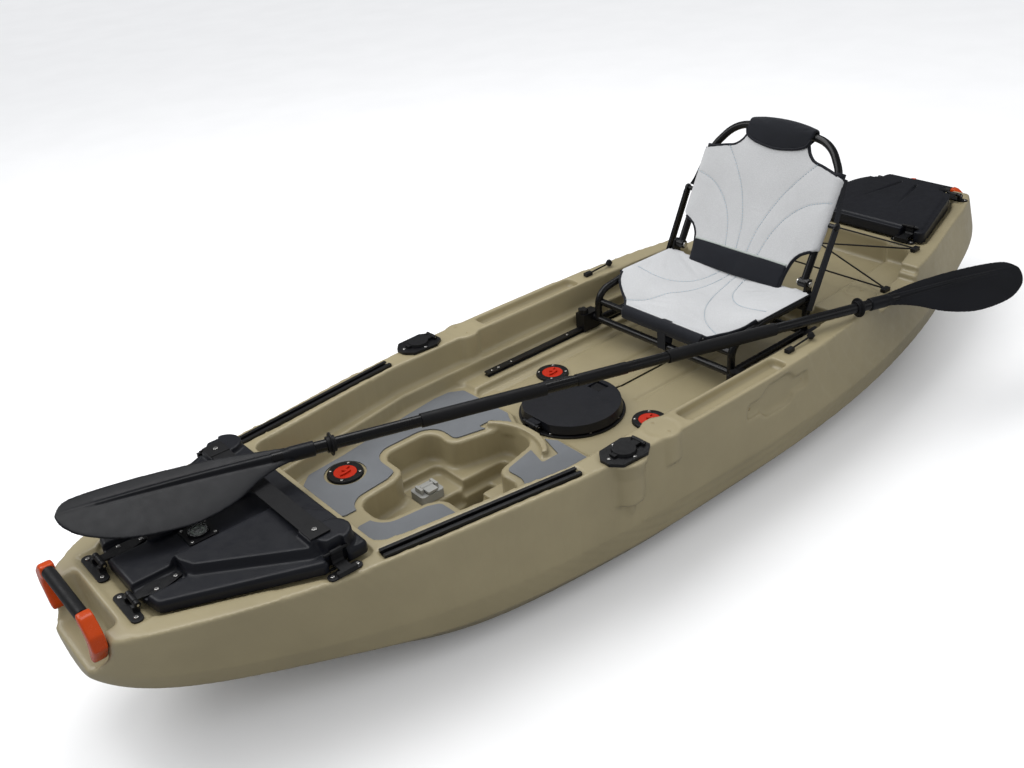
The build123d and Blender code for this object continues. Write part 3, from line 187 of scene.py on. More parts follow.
khaki = (0.300, 0.255, 0.150)
looks = {
    # The hull's sharp edges get a lighter colour: a painted highlight.
    "hull_plastic": surface("hull_plastic", khaki, 0.36, 0.05, 420, 0.00010, 0.05, coat=0.10,
                            edge_highlight=(0.34, 0.29, 0.18)),
    "lid_plastic": surface("lid_plastic", (0.0070, 0.0078, 0.0115), 0.40, 0.06, 900, 0.00020, 0.12, specular=0.34),
    "black_plastic": surface("black_plastic", (0.005, 0.005, 0.006), 0.38, 0.07, 900, 0.0001, 0.12, specular=0.34),
    "rubber": surface("rubber", (0.007, 0.007, 0.008), 0.50, 0.07, 700, 0.00012, 0.12, specular=0.28),
    "orange_plastic": surface("orange_plastic", (0.46, 0.048, 0.002), 0.24, 0.04, 500, 0.00003, 0.06, specular=0.35),
    "red_plastic": surface("red_plastic", (0.42, 0.018, 0.004), 0.34, 0.05, 700, 0.00006, 0.06, specular=0.25),
    "black_tube": surface("black_tube", (0.0045, 0.0045, 0.005), 0.27, 0.02, 800, 0.000004, 0.10, specular=0.4,
                          patch=3.0),
    "anodised": surface("anodised", (0.008, 0.008, 0.009), 0.34, 0.05, 1200, 0.00002, 0.10, metallic=0.2),
    "stainless": surface("stainless", (0.66, 0.65, 0.63), 0.24, 0.06, 1500, 0.00002, 0.04, metallic=1.0),
    "brass": surface("brass", (0.66, 0.44, 0.16), 0.3, 0.06, 1500, 0.00002, 0.06, metallic=1.0),
    "grey_cast": surface("grey_cast", (0.34, 0.34, 0.32), 0.45, 0.08, 1400, 0.00012, 0.08, specular=0.4),
    "grey_foam": surface("grey_foam", (0.150, 0.158, 0.168), 0.82, 0.06, 1500, 0.00020, 0.07, specular=0.25),
    "white_mesh": woven("white_mesh", (0.52, 0.525, 0.53), 0.0026, 0.00025, 0.2, 0.03, 0.85, cells=True),
    "black_fabric": woven("black_fabric", (0.0055, 0.0068, 0.0115), 0.0014, 0.0002, 0.10, 0.12, 0.75),
    "dial": surface("dial", (0.010, 0.030, 0.018), 0.35, 0.05, 900, 0.00002, 0.2),
    "thread": surface("thread", (0.42, 0.53, 0.60), 0.7, 0.05, 1500, 0.00002, 0.05),
    "grey_trim": surface("grey_trim", (0.34, 0.37, 0.35), 0.75, 0.05, 1500, 0.00003, 0.05),
    "mark": surface("mark", (0.50, 0.62, 0.50), 0.5, 0.05, 900, 0.00001, 0.05),
    "blade_plastic": surface("blade_plastic", (0.0065, 0.0070, 0.0090), 0.36, 0.05, 900, 0.00010, 0.15,
                             specular=0.26),
}


def glass_look():
    material, tree, principled, place = shader("clear")
    principled.inputs["Base Color"].default_value = (0.92, 0.95, 0.93, 1)
    principled.inputs["Transmission Weight"].default_value = 0.95
    principled.inputs["IOR"].default_value = 1.12
    link = tree.links.new
    link(ramp(tree, noise_node(tree, place, 90, 3), 0.02, 0.10), principled.inputs["Roughness"])
    return material


looks["clear"] = glass_look()
slot_of = {part["node"]: part["material_slot"] for part in frame["record"]["subparts"]}


# ---- mesh helpers ------------------------------------------------------------------------------------
def finish_mesh(bm, name, look, body, smooth=True):
    """Turns a bmesh into a piece that rides on a body."""
    mesh = bpy.data.meshes.new(name)
    bm.normal_update()
    bm.to_mesh(mesh)
    bm.free()
    piece = bpy.data.objects.new(name, mesh)
    scene.collection.objects.link(piece)
    mesh.materials.append(looks[look])
    if smooth:
        mesh.polygons.foreach_set("use_smooth", [True] * len(mesh.polygons))
    if body:
        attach(piece, body)
    return piece


def apply_modifiers(piece):
    """Replaces the piece's mesh with its evaluated one."""
    depsgraph = bpy.context.evaluated_depsgraph_get()
    mesh = bpy.data.meshes.new_from_object(piece.evaluated_get(depsgraph))
    old = piece.data
    piece.modifiers.clear()
    piece.data = mesh
    bpy.data.meshes.remove(old)


def welded(node):
    """A CAD node's mesh as a bmesh with its split vertices joined."""
    bm = bmesh.new()
    bm.from_mesh(nodes[node].data)
    bmesh.ops.remove_doubles(bm, verts=bm.verts, dist=1e-5)
    return bm


def dress(node, bevel=0.0012, segments=2, angle=32):
    """Shows a CAD node as it is, with its edges rounded and its material on."""
    piece = nodes[node]
    piece.data.materials.clear()
    piece.data.materials.append(looks[slot_of[node]])
    weld = piece.modifiers.new("weld", "WELD")
    weld.merge_threshold = 1e-5
    if bevel:
        rounding = piece.modifiers.new("rounding", "BEVEL")
        rounding.width = bevel
        rounding.segments = segments
        rounding.limit_method = "ANGLE"
        rounding.angle_limit = math.radians(angle)
        rounding.harden_normals = False
        rounding.use_clamp_overlap = True
    piece.data.polygons.foreach_set("use_smooth", [True] * len(piece.data.polygons))
    normals = piece.modifiers.new("normals", "WEIGHTED_NORMAL")
    normals.keep_sharp = False
    normals.weight = 80


def skin(node, voxel, relax, edit=None, shape=None):
    """A moulded skin grown over a CAD node: remeshed, softened along its edges, standing for that node."""
    bm = welded(node)
    if edit:
        edit(bm)
    body = nodes[node]["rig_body"]
    look = slot_of[node]
    piece = finish_mesh(bm, node + "_skin", look, None)
    remesh = piece.modifiers.new("remesh", "REMESH")
    remesh.mode = "VOXEL"
    remesh.voxel_size = voxel
    remesh.use_smooth_shade = True
    apply_modifiers(piece)
    if shape:
        shape(piece.data)
    soften = piece.modifiers.new("soften", "SMOOTH")
    soften.factor = 0.5
    soften.iterations = relax
    apply_modifiers(piece)
    piece.data.polygons.foreach_set("use_smooth", [True] * len(piece.data.polygons))
    piece.data.materials.clear()
    piece.data.materials.append(looks[look])
    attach(piece, body)
    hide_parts(node)
    return piece


def smooth_curve(points, step=0.004, closed=False):
    """A dense polyline through the points, rounded as a Catmull-Rom spline."""
    ends = [points[-1]] + points + points[:2] if closed else [points[0]] + points + [points[-1]]
    out = []
    for a, b, c, d in zip(ends, ends[1:], ends[2:], ends[3:]):
        pieces = max(2, int((Vector(c) - Vector(b)).length / step))
        for i in range(pieces):
            t = i / pieces
            out.append(tuple(0.5 * (2 * q + (r - p) * t + (2 * p - 5 * q + 4 * r - s) * t * t
                                    + (3 * q - p - 3 * r + s) * t ** 3) for p, q, r, s in zip(a, b, c, d)))
    if not closed:
        out.append(tuple(points[-1]))
    return out


def straight_line(points, step=0.004):
    """A dense polyline with its corners kept."""
    out = []
    for a, b in zip(points, points[1:]):
        pieces = max(1, int((Vector(b) - Vector(a)).length / step))
        out += [tuple(p + (q - p) * i / pieces for p, q in zip(a, b)) for i in range(pieces)]
    return out + [tuple(points[-1])]


# ---- hull --------------------------------------------------------------------------------------------
bulkhead = 1.0


def close_off_middle(bm):
    """Removes the hull's unseen inner skin between two bulkheads and caps the compartments left at the ends."""
    for x in (-bulkhead, bulkhead):
        parts = bm.verts[:] + bm.edges[:] + bm.faces[:]
        bmesh.ops.bisect_plane(bm, geom=parts, dist=1e-6, plane_co=(x, 0, 0), plane_no=(1, 0, 0))
    middle = {f for f in bm.faces if abs(f.calc_center_median().x) < bulkhead}
    groups = []
    while middle:
        seed = middle.pop()
        group, edge_of_group = {seed}, [seed]
        while edge_of_group:
            face = edge_of_group.pop()
            for edge in face.edges:
                for other in edge.link_faces:
                    if other in middle:
                        middle.remove(other)
                        group.add(other)
                        edge_of_group.append(other)
        groups.append(group)
    groups.sort(key=lambda g: max(v.co.y for f in g for v in f.verts))
    for group in groups[:-1]:
        bmesh.ops.delete(bm, geom=list(group), context="FACES")
    for x in (-bulkhead, bulkhead):
        rim = [e for e in bm.edges if e.is_boundary and all(abs(v.co.x - x) < 1e-4 for v in e.verts)]
        bmesh.ops.triangle_fill(bm, use_beauty=True, edges=rim)
    bmesh.ops.recalc_face_normals(bm, faces=bm.faces)


floor_level = 0.200
shelf_level = 0.284
floor_grooves = [(0.0, 0.010), (0.088, 0.036), (0.230, 0.265)]      # distance off the centre line, forward end


def press(distance, half_width, depth):
    """Depth of a rounded groove at a distance from its middle."""
    return depth * (1 - (distance / half_width) ** 2) ** 2 if distance < half_width else 0.0


def mould_details(mesh):
    """Presses the floor's drain grooves and the ring on each corner shelf into the hull's skin."""
    for v in mesh.vertices:
        x, y, z = v.co
        if abs(z - floor_level) < 0.003 and -0.56 < x < 0.27:
            for off, front in floor_grooves:
                if x < front:
                    v.co.z -= press(abs(abs(y) - off), 0.0085, 0.0055)
        elif abs(z - shelf_level) < 0.003 and -0.86 < x < -0.68:
            away = math.hypot(x + 0.767, abs(y) - 0.243)
            v.co.z -= press(abs(away - 0.046), 0.007, 0.003)


def round_the_ends(piece, start=1.42, rounds=14):
    """Softens the bow's and stern's corners further than the rest."""
    group = piece.vertex_groups.new(name="ends")
    for v in piece.data.vertices:
        weight = min(max((abs(v.co.x) - start) / 0.08, 0), 1)
        if weight:
            group.add([v.index], weight, "REPLACE")
    soften = piece.modifiers.new("ends", "SMOOTH")
    soften.factor = 0.5
    soften.iterations = rounds
    soften.vertex_group = "ends"
    apply_modifiers(piece)


hull = skin("hull", 0.0052, 3, edit=close_off_middle, shape=mould_details)
round_the_ends(hull)

# ---- hatches, fittings and tubes straight from the frame ---------------------------------------------
skin("bow_hatch_lid", 0.0030, 3)
skin("stern_hatch_lid", 0.0030, 3)
skin("handle_caps", 0.0026, 26)
plain = {
    "handle_grips": 0.004, "deck_pads": 0.0015, "seat_clamps": 0.002, "drive_dock": 0.0015, "rod_holders": 0.0015,
    "floor_hatch_lid": 0.002, "floor_hatch_ring": 0.002, "gear_tracks": 0.0006, "seat_rails": 0.0006,
}
soft = ("seat_sling", "seat_back_panel", "lumbar_band", "headrest_patch", "paddle_blades")
for node in nodes:
    if not nodes[node].hide_render and node not in soft:
        dress(node, plain.get(node, 0.001))

# ---- paddle blades -----------------------------------------------------------------------------------
front_ring = Vector((0.913, -0.003, 0.436))
rear_ring = Vector((-0.520, 0.392, 0.367))
neck_gap = 0.074
shaft_way = (rear_ring - front_ring).normalized()
level_way = Vector((0, 0, 1)).cross(shaft_way).normalized()
lean = math.radians(22)
face_way = shaft_way.cross(level_way) * math.cos(lean) - level_way * math.sin(lean)
edge_way = face_way.cross(shaft_way)
blade_length = 0.512
upper_edge = [(0, 0.017), (0.06, 0.025), (0.16, 0.036), (0.30, 0.041), (0.42, 0.039), (0.48, 0.032),
              (0.502, 0.018), (0.512, -0.004)]
lower_edge = [(0, -0.017), (0.05, -0.028), (0.10, -0.050), (0.16, -0.088), (0.24, -0.113), (0.32, -0.114),
              (0.40, -0.100), (0.468, -0.068), (0.502, -0.034), (0.512, -0.008)]


def along_edge(edge, u):
    """The edge's offset from the spine at a distance from the neck."""
    for (u0, v0), (u1, v1) in zip(edge, edge[1:]):
        if u <= u1:
            t = (u - u0) / (u1 - u0)
            return v0 + (v1 - v0) * t
    return edge[-1][1]


def blade_piece(name, neck, way, rows=90, columns=48):
    """A spooned blade with a tapering spine between two grooves, and its socket on the shaft."""
    bm = bmesh.new()
    upper = smooth_curve(upper_edge, 0.006)
    lower = smooth_curve(lower_edge, 0.006)
    layers = []
    for face in (1, -1):
        grid = []
        for i in range(rows + 1):
            u = blade_length * math.sin(math.pi / 2 * i / rows) ** 0.9
            top, low = along_edge(upper, u), along_edge(lower, u)
            row = []
            for j in range(columns + 1):
                v = low + (top - low) * j / columns
                spoon = 0.007 * math.sin(math.pi * u / blade_length)
                fold = (-0.10 * v if v > 0 else 0.035 * v) * min(u / 0.1, 1)
                ridge_width = 0.0095 - 0.0060 * min(u / 0.45, 1)
                ridge = max(0.0085 - 0.0175 * u, 0.0004) * math.exp(-(v / ridge_width) ** 4)
                gutter = 0.0012 * math.exp(-((abs(v) - ridge_width - 0.0035) / 0.0030) ** 2) * (0.04 < u < 0.43)
                half = 0.0028 - 0.0014 * (2 * j / columns - 1) ** 4
                lift = spoon + fold + face * (half + ridge - gutter)
                row.append(bm.verts.new(neck + shaft_way * way * u + edge_way * v + face_way * lift))
            grid.append(row)
        layers.append(grid)
    for grid, order in zip(layers, (1, -1)):
        for a, b in zip(grid, grid[1:]):
            for j in range(columns):
                bm.faces.new([a[j], a[j + 1], b[j + 1], b[j]][::order])
    top, bottom = layers
    rim = ([(i, 0) for i in range(rows + 1)] + [(rows, j) for j in range(1, columns + 1)]
           + [(i, columns) for i in range(rows - 1, -1, -1)] + [(0, j) for j in range(columns - 1, 0, -1)])
    for (i, j), (k, m) in zip(rim, rim[1:] + rim[:1]):
        bm.faces.new([top[i][j], top[k][m], bottom[k][m], bottom[i][j]])
    bmesh.ops.recalc_face_normals(bm, faces=bm.faces)
    turn = shaft_way.to_track_quat("Z", "Y").to_matrix().to_4x4()
    for start, end, near, far in ((-0.036, 0.020, 0.0178, 0.0178), (0.018, 0.075, 0.0178, 0.006)):
        middle = neck + shaft_way * way * (start + end) / 2
        radii = (near, far) if way > 0 else (far, near)
        bmesh.ops.create_cone(bm, cap_ends=True, segments=40, radius1=radii[0], radius2=radii[1],
                              depth=end - start, matrix=Matrix.Translation(middle) @ turn)
    piece = finish_mesh(bm, name, "blade_plastic", None)
    remesh = piece.modifiers.new("remesh", "REMESH")
    remesh.mode = "VOXEL"
    remesh.voxel_size = 0.0019
    soften = piece.modifiers.new("soften", "SMOOTH")
    soften.factor = 0.5
    soften.iterations = 4
    apply_modifiers(piece)
    piece.data.polygons.foreach_set("use_smooth", [True] * len(piece.data.polygons))
    piece.data.materials.clear()
    piece.data.materials.append(looks["blade_plastic"])
    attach(piece, nodes["paddle_blades"]["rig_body"])
    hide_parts("paddle_blades")


blade_piece("blade_front", front_ring - shaft_way * neck_gap, -1)
blade_piece("blade_rear", rear_ring + shaft_way * neck_gap, 1)


# ---- soft goods --------------------------------------------------------------------------------------
def slab(outline, place, thickness, grid=0.009):
    """A closed sheet: its outline is given in the sheet's own two directions and place puts it in space."""
    xs = [p[0] for p in outline]
    ys = [p[1] for p in outline]
    inner = []
    x = min(xs) + grid / 2
    while x < max(xs):
        y = min(ys) + grid / 2
        while y < max(ys):
            inner.append((x, y))
            y += grid
        x += grid
    loop = [Vector(p) for p in outline]
    points, _, faces, _, _, _ = geometry.delaunay_2d_cdt(
        loop + [Vector(p) for p in inner], [], [list(range(len(loop)))], 1, 1e-5)
    bm = bmesh.new()
    sides = []
    for lift in (thickness / 2, -thickness / 2):
        verts = []
        for p in points:
            spot, normal = place(p.x, p.y)
            verts.append(bm.verts.new(spot + normal * lift))
        sides.append(verts)
    for face in faces:
        bm.faces.new([sides[0][i] for i in face])
        bm.faces.new([sides[1][i] for i in reversed(face)])
    for edge in [e for e in bm.edges if e.is_boundary and e.verts[0] in set(sides[0])]:
        a, b = (sides[0].index(v) for v in edge.verts)
        bm.faces.new([sides[0][a], sides[0][b], sides[1][b], sides[1][a]])
    loose = [v for v in bm.verts if not v.link_faces]
    bmesh.ops.delete(bm, geom=loose, context="VERTS")
    bmesh.ops.recalc_face_normals(bm, faces=bm.faces)
    return bm


def tree_of(points):
    tree = kdtree.KDTree(len(points))
    for i, p in enumerate(points):
        tree.insert(p, i)
    tree.balance()
    return tree


def inflate(piece, held, limit, pressure=4.0):
    """Blows the piece up by cloth pressure with the held points fixed, and caps how far any point moves."""
    rest = [v.co.copy() for v in piece.data.vertices]
    group = piece.vertex_groups.new(name="held")
    for i, weight in held.items():
        group.add([i], weight, "REPLACE")
    cloth = piece.modifiers.new("cloth", "CLOTH")
    settings = cloth.settings
    settings.quality = 4
    settings.mass = 0.25
    settings.tension_stiffness = 12
    settings.compression_stiffness = 12
    settings.shear_stiffness = 5
    settings.bending_stiffness = 1.5
    settings.use_pressure = True
    settings.uniform_pressure_force = pressure
    settings.vertex_group_mass = "held"
    settings.effector_weights.gravity = 0
    cloth.collision_settings.use_collision = False
    cloth.collision_settings.use_self_collision = False
    for number in range(1, 21):
        scene.frame_set(number)
    apply_modifiers(piece)
    scene.frame_set(1)
    for v, old in zip(piece.data.vertices, rest):
        move = v.co - old
        if move.length > limit:
            v.co = old + move.normalized() * limit


def cushion(name, node, look, outline, place, thickness, seams, voxel=0.0045, limit=0.006, groove=0.0018,
            reach=0.006):
    """A padded panel: remeshed, blown up between its seams, then pinched along them. Returns the piece."""
    piece = finish_mesh(slab(outline, place, thickness), name, look, None)
    remesh = piece.modifiers.new("remesh", "REMESH")
    remesh.mode = "VOXEL"
    remesh.voxel_size = voxel
    apply_modifiers(piece)
    lines = [place(*p) for seam in seams for p in seam]
    rim = tree_of([place(*p)[0] for p in outline])
    held = {}
    stitched = tree_of([spot for spot, _ in lines]) if lines else None
    for v in piece.data.vertices:
        if rim.find(v.co)[2] < thickness:
            held[v.index] = 1.0
        elif stitched and stitched.find(v.co)[2] < thickness * 0.5 + 0.0025:
            held[v.index] = 1.0
    inflate(piece, held, limit)
    finer = piece.modifiers.new("finer", "SUBSURF")
    finer.levels = 1
    apply_modifiers(piece)
    if stitched:
        for v in piece.data.vertices:
            _, index, away = stitched.find(v.co)
            spot, normal = lines[index]
            offset = v.co - spot
            height = offset.dot(normal)
            beside = (offset - normal * height).length
            if beside < reach and abs(height) > 0.001:
                pull = groove * (1 - beside / reach) ** 2
                v.co -= normal * math.copysign(min(pull, abs(height) * 0.8), height)
    piece.data.polygons.foreach_set("use_smooth", [True] * len(piece.data.polygons))
    piece.data.materials.clear()
    piece.data.materials.append(looks[look])
    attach(piece, nodes[node]["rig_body"])
    return piece


def tube_along(name, path, body, look, width, height=None, sides=8, closed=False, faces_out=None):
    """A cord or band swept along a path; its cross-section is an ellipse, its flat side facing faces_out."""
    height = height or width
    bm = bmesh.new()
    rings = []
    count = len(path)
    for i, spot in enumerate(path):
        ahead = path[(i + 1) % count] if closed or i + 1 < count else spot
        behind = path[i - 1] if closed or i else spot
        along = (Vector(ahead) - Vector(behind)).normalized()
        out = faces_out(i) if callable(faces_out) else (faces_out or Vector((0, 0, 1)))
        out = Vector(out)
        out = (out - along * out.dot(along))
        out = out.normalized() if out.length > 1e-6 else along.orthogonal().normalized()
        across = along.cross(out)
        ring = []
        for k in range(sides):
            turn = 2 * math.pi * k / sides
            ring.append(bm.verts.new(Vector(spot) + across * (width / 2 * math.cos(turn))
                                     + out * (height / 2 * math.sin(turn))))
        rings.append(ring)
    last = count if closed else count - 1
    for i in range(last):
        a, b = rings[i], rings[(i + 1) % count]
        for k in range(sides):
            bm.faces.new([a[k], a[(k + 1) % sides], b[(k + 1) % sides], b[k]])
    if not closed:
        bm.faces.new(rings[0])
        bm.faces.new(list(reversed(rings[-1])))
    bmesh.ops.recalc_face_normals(bm, faces=bm.faces)
    return finish_mesh(bm, name, look, body)


def binding(name, node, curve, place, look="black_fabric", width=0.009, height=0.012):
    """A folded edge tape along a curve given in a sheet's own directions."""
    spots = [place(*p) for p in curve]
    return tube_along(name, [s for s, _ in spots], nodes[node]["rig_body"], look, width, height, 10,
                      faces_out=lambda i: spots[i][1])


def stitching(name, node, seams, place, lift, look="thread", pitch=0.0055, length=0.0038, width=0.0009):
    """Rows of short stitches lying in the seams on the sheet's front face."""
    bm = bmesh.new()
    for seam in seams:
        travelled = 0.0
        previous = None
        for p in seam:
            spot, normal = place(*p)
            spot = spot + normal * lift
            if previous is not None:
                travelled += (spot - previous).length
            if previous is not None and travelled >= pitch:
                travelled = 0.0
                along = (spot - previous).normalized()
                across = along.cross(normal)
                ends = []
                for end in (-length / 2, length / 2):
                    ends.append([bm.verts.new(spot + along * end + across * a * width + normal * h * width)
                                 for a, h in ((-1, -0.6), (-0.6, 0.7), (0.6, 0.7), (1, -0.6))])
                for k in range(4):
                    bm.faces.new([ends[0][k], ends[0][(k + 1) % 4], ends[1][(k + 1) % 4], ends[1][k]])
                bm.faces.new(list(reversed(ends[0])))
                bm.faces.new(ends[1])
            previous = spot
    bmesh.ops.recalc_face_normals(bm, faces=bm.faces)
    return finish_mesh(bm, name, look, nodes[node]["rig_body"])


def both(points):
    """A line given on the port side and its mirror image."""
    return [points, [(-p[0], p[1]) for p in points]]


# The sling: across is measured along the cloth from the centre line, along runs forward on the deck.
tube_y, tube_z, wrap_radius = 0.252, 0.366, 0.0150
front_tube, front_radius = (-0.167, 0.317), 0.0150
sling_thickness = 0.008
flat_top = tube_z + wrap_radius


def sling_profile(along):
    """Height of the cloth over the tubes, for a place behind the front tube."""
    t = min(max((along + 0.275) / 0.108, 0), 1)
    ease = t * t * (3 - 2 * t)
    return flat_top + (front_tube[1] + front_radius - flat_top) * ease


def sling_place(across, along):
    side = math.copysign(1, across)
    reach = min(abs(across), tube_y)
    if along > front_tube[0]:
        turn = (along - front_tube[0]) / front_radius
        out = Vector((math.sin(turn), 0, math.cos(turn)))
        spot = Vector((front_tube[0], side * reach, front_tube[1])) + out * front_radius
        return spot, out
    hang = math.sin(math.pi * min(max((along + 0.52) / 0.36, 0), 1)) ** 0.7 * 0.028
    sag = hang * (1 - (reach / tube_y) ** 2)
    height = sling_profile(along) - sag
    if abs(across) <= tube_y:
        step = 0.002
        rise = (sling_profile(along + step) - sling_profile(along - step)) / (2 * step)
        tilt = 2 * hang * across / tube_y ** 2
        normal = Vector((-rise, -tilt, 1)).normalized()
        return Vector((along, across, height)), normal
    turn = (abs(across) - tube_y) / wrap_radius
    out = Vector((0, side * math.sin(turn), math.cos(turn)))
    drop = sling_profile(along) - flat_top
    return Vector((along, side * tube_y, tube_z + drop)) + out * wrap_radius, out


sling_wrap, panel_wrap = 0.008, 0.024          # cloth past the top of the side tubes
cut_out = [(0.252, -0.262), (0.236, -0.236), (0.206, -0.214), (0.176, -0.196), (0.158, -0.176), (0.152, -0.163)]
cut_curve = smooth_curve(cut_out)
sling_edge = ([(0.0, -0.486), (0.246, -0.486)]
              + straight_line([(tube_y + sling_wrap, -0.478), (tube_y + sling_wrap, -0.266)], 0.008)
              + cut_curve + [(0.150, -0.154), (0.0, -0.154)])
sling_outline = sling_edge + [(-x, y) for x, y in reversed(sling_edge[1:-1])]
sling_seams = [smooth_curve(s) for line in (
    [(0.048, -0.478), (0.052, -0.440), (0.078, -0.374), (0.140, -0.328), (0.240, -0.318)],
    [(0.014, -0.478), (0.016, -0.430), (0.040, -0.330), (0.095, -0.235), (0.170, -0.196)]) for s in both(line)]
cushion("sling", "seat_sling", "white_mesh", sling_outline, sling_place, sling_thickness, sling_seams)
# The front pad: black cloth from the sling's front edge round the front tube.
front_pad = [(0.0, -0.178), (0.152, -0.176), (0.151, -0.120), (0.0, -0.120)]
front_outline = front_pad + [(-x, y) for x, y in reversed(front_pad[1:-1])]


def pad_place(across, along):
    spot, normal = sling_place(across, along)
    return spot + normal * 0.0035, normal


cushion("sling_front", "seat_sling", "black_fabric", front_outline, pad_place, 0.009, [], limit=0.004)
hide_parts("seat_sling")
for i, curve in enumerate(both(cut_curve)):
    binding(f"sling_tape_{i}", "seat_sling", curve, sling_place)
sling_side = straight_line([(tube_y + sling_wrap, -0.482), (tube_y + sling_wrap, -0.262)], 0.02)
for i, line in enumerate(both(sling_side)):
    binding(f"sling_side_tape_{i}", "seat_sling", line, sling_place, width=0.004, height=0.009)
stitching("sling_stitches", "seat_sling", sling_seams, sling_place, sling_thickness / 2 + 0.0004)

# The backrest: across along the cloth from the centre line, up in the backrest's own plane.
pivot = Vector((-0.497, 0, 0.402))
recline = math.radians(27.6)
back_up = Vector((-math.sin(recline), 0, math.cos(recline)))
back_out = Vector((math.cos(recline), 0, math.sin(recline)))
hoop_y, hoop_wrap = 0.228, 0.0150


def hollow_of(up):
    """How far the cloth hangs back between the tubes."""
    return 0.012 * math.sin(math.pi * min(max((up + 0.10) / 0.56, 0), 1))


def back_place(across, up):
    side = math.copysign(1, across)
    if abs(across) <= hoop_y:
        dip = hollow_of(up)
        forward = hoop_wrap - dip * (1 - (across / hoop_y) ** 2)
        tilt = 2 * dip * across / hoop_y ** 2
        spot = pivot + Vector((0, across, 0)) + back_up * up + back_out * forward
        return spot, (back_out - Vector((0, tilt, 0))).normalized()
    turn = (abs(across) - hoop_y) / hoop_wrap
    out = Vector((0, side * math.sin(turn), 0)) + back_out * math.cos(turn)
    return pivot + Vector((0, side * hoop_y, 0)) + back_up * up + out * hoop_wrap, out


scallop = smooth_curve([(0.228, 0.302), (0.205, 0.309), (0.172, 0.318), (0.140, 0.326), (0.118, 0.344),
                        (0.106, 0.366)])
corner = smooth_curve([(0.228, 0.086), (0.214, 0.080), (0.194, 0.068), (0.178, 0.046), (0.171, 0.022)])
lumbar_side = [(0.167, 0.0), (0.164, -0.040)]
half_panel = ([(0.0, 0.020), (0.171, 0.022)] + corner[::-1][1:]
              + straight_line([(hoop_y + panel_wrap, 0.094), (hoop_y + panel_wrap, 0.294)], 0.008)
              + scallop + [(0.098, 0.380), (0.0, 0.380)])
panel_outline = half_panel + [(-x, y) for x, y in reversed(half_panel[1:-1])]
back_seams = [smooth_curve(s) for line in (
    [(0.058, 0.030), (0.080, 0.105), (0.118, 0.165), (0.172, 0.207), (0.238, 0.227)],
    [(0.019, 0.030), (0.030, 0.110), (0.066, 0.200), (0.110, 0.266), (0.156, 0.320)]) for s in both(line)]
panel = cushion("back_panel", "seat_back_panel", "white_mesh", panel_outline, back_place, 0.009, back_seams,
                limit=0.007)
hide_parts("seat_back_panel")
stitching("back_stitches", "seat_back_panel", back_seams, back_place, 0.0049)
half_band = [(0.0, 0.030), (0.168, 0.030)] + lumbar_side + [(0.0, -0.042)]
band_outline = half_band + [(-x, y) for x, y in reversed(half_band[1:-1])]


def band_place(across, up):
    spot, normal = back_place(across, up)
    return spot + normal * 0.004, normal


band = cushion("lumbar", "lumbar_band", "black_fabric", band_outline, band_place, 0.010, [], limit=0.006)
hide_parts("lumbar_band")
trim = straight_line([(-0.167, 0.031), (0.167, 0.031)])
binding("lumbar_trim", "lumbar_band", trim, band_place, "grey_trim", 0.007, 0.0105)
for i, (top_edge, low_edge) in enumerate(zip(both(scallop), both(corner + lumbar_side))):
    binding(f"back_tape_top_{i}", "seat_back_panel", top_edge, back_place)
    binding(f"back_tape_low_{i}", "seat_back_panel", smooth_curve(low_edge), back_place)

# The headrest patch laps over the hoop's top.
patch_radius = 0.0145


def hoop_height(across):
    return 0.408 - 0.026 * (across / 0.168) ** 2


def patch_place(across, along):
    """Along is measured over the hoop: zero at its front, growing over the top and down the back."""
    top = hoop_height(across)
    turn = along / patch_radius
    base = pivot + Vector((0, across, 0))
    if along < 0:
        return base + back_up * (top + along) + back_out * (patch_radius + 0.003), back_out.copy()
    if turn > math.pi:
        below = along - math.pi * patch_radius
        return base + back_up * (top - below) - back_out * patch_radius, -back_out
    out = back_out * math.cos(turn) + back_up * math.sin(turn)
    return base + back_up * top + out * (patch_radius + 0.003 * max(math.cos(turn), 0)), out


over = math.pi * patch_radius
patch_front = smooth_curve([(-0.112, -0.016), (-0.100, -0.040), (-0.060, -0.060), (0.0, -0.070), (0.060, -0.060),
                            (0.100, -0.040), (0.112, -0.016)])
patch_edge = patch_front + [(0.116, over * 0.5), (0.112, over), (0.096, over + 0.03), (-0.096, over + 0.03),
                            (-0.112, over), (-0.116, over * 0.5)]
patch = cushion("headrest", "headrest_patch", "black_fabric", patch_edge, patch_place, 0.007, [], limit=0.005)
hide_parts("headrest_patch")
binding("headrest_tape", "headrest_patch", patch_front, patch_place, width=0.008, height=0.010)


def belt(name, path, body, look, width, thickness=0.0016, across=Vector((0, 1, 0)), closed=False):
    """Flat webbing along a path, lying across the given direction."""
    bm = bmesh.new()
    rings = []
    count = len(path)
    for i, spot in enumerate(path):
        ahead = path[(i + 1) % count] if closed or i + 1 < count else spot
        behind = path[i - 1] if closed or i else spot
        along = (Vector(ahead) - Vector(behind)).normalized()
        out = along.cross(across).normalized()
        rings.append([bm.verts.new(Vector(spot) + across * (a * width / 2) + out * (b * thickness / 2))
                      for a, b in ((-1, -0.6), (-0.96, 1), (0.96, 1), (1, -0.6))])
    for i in range(count if closed else count - 1):
        a, b = rings[i], rings[(i + 1) % count]
        for k in range(4):
            bm.faces.new([a[k], a[(k + 1) % 4], b[(k + 1) % 4], b[k]])
    if not closed:
        bm.faces.new(rings[0])
        bm.faces.new(list(reversed(rings[-1])))
    bmesh.ops.recalc_face_normals(bm, faces=bm.faces)
    return finish_mesh(bm, name, look, body, smooth=False)


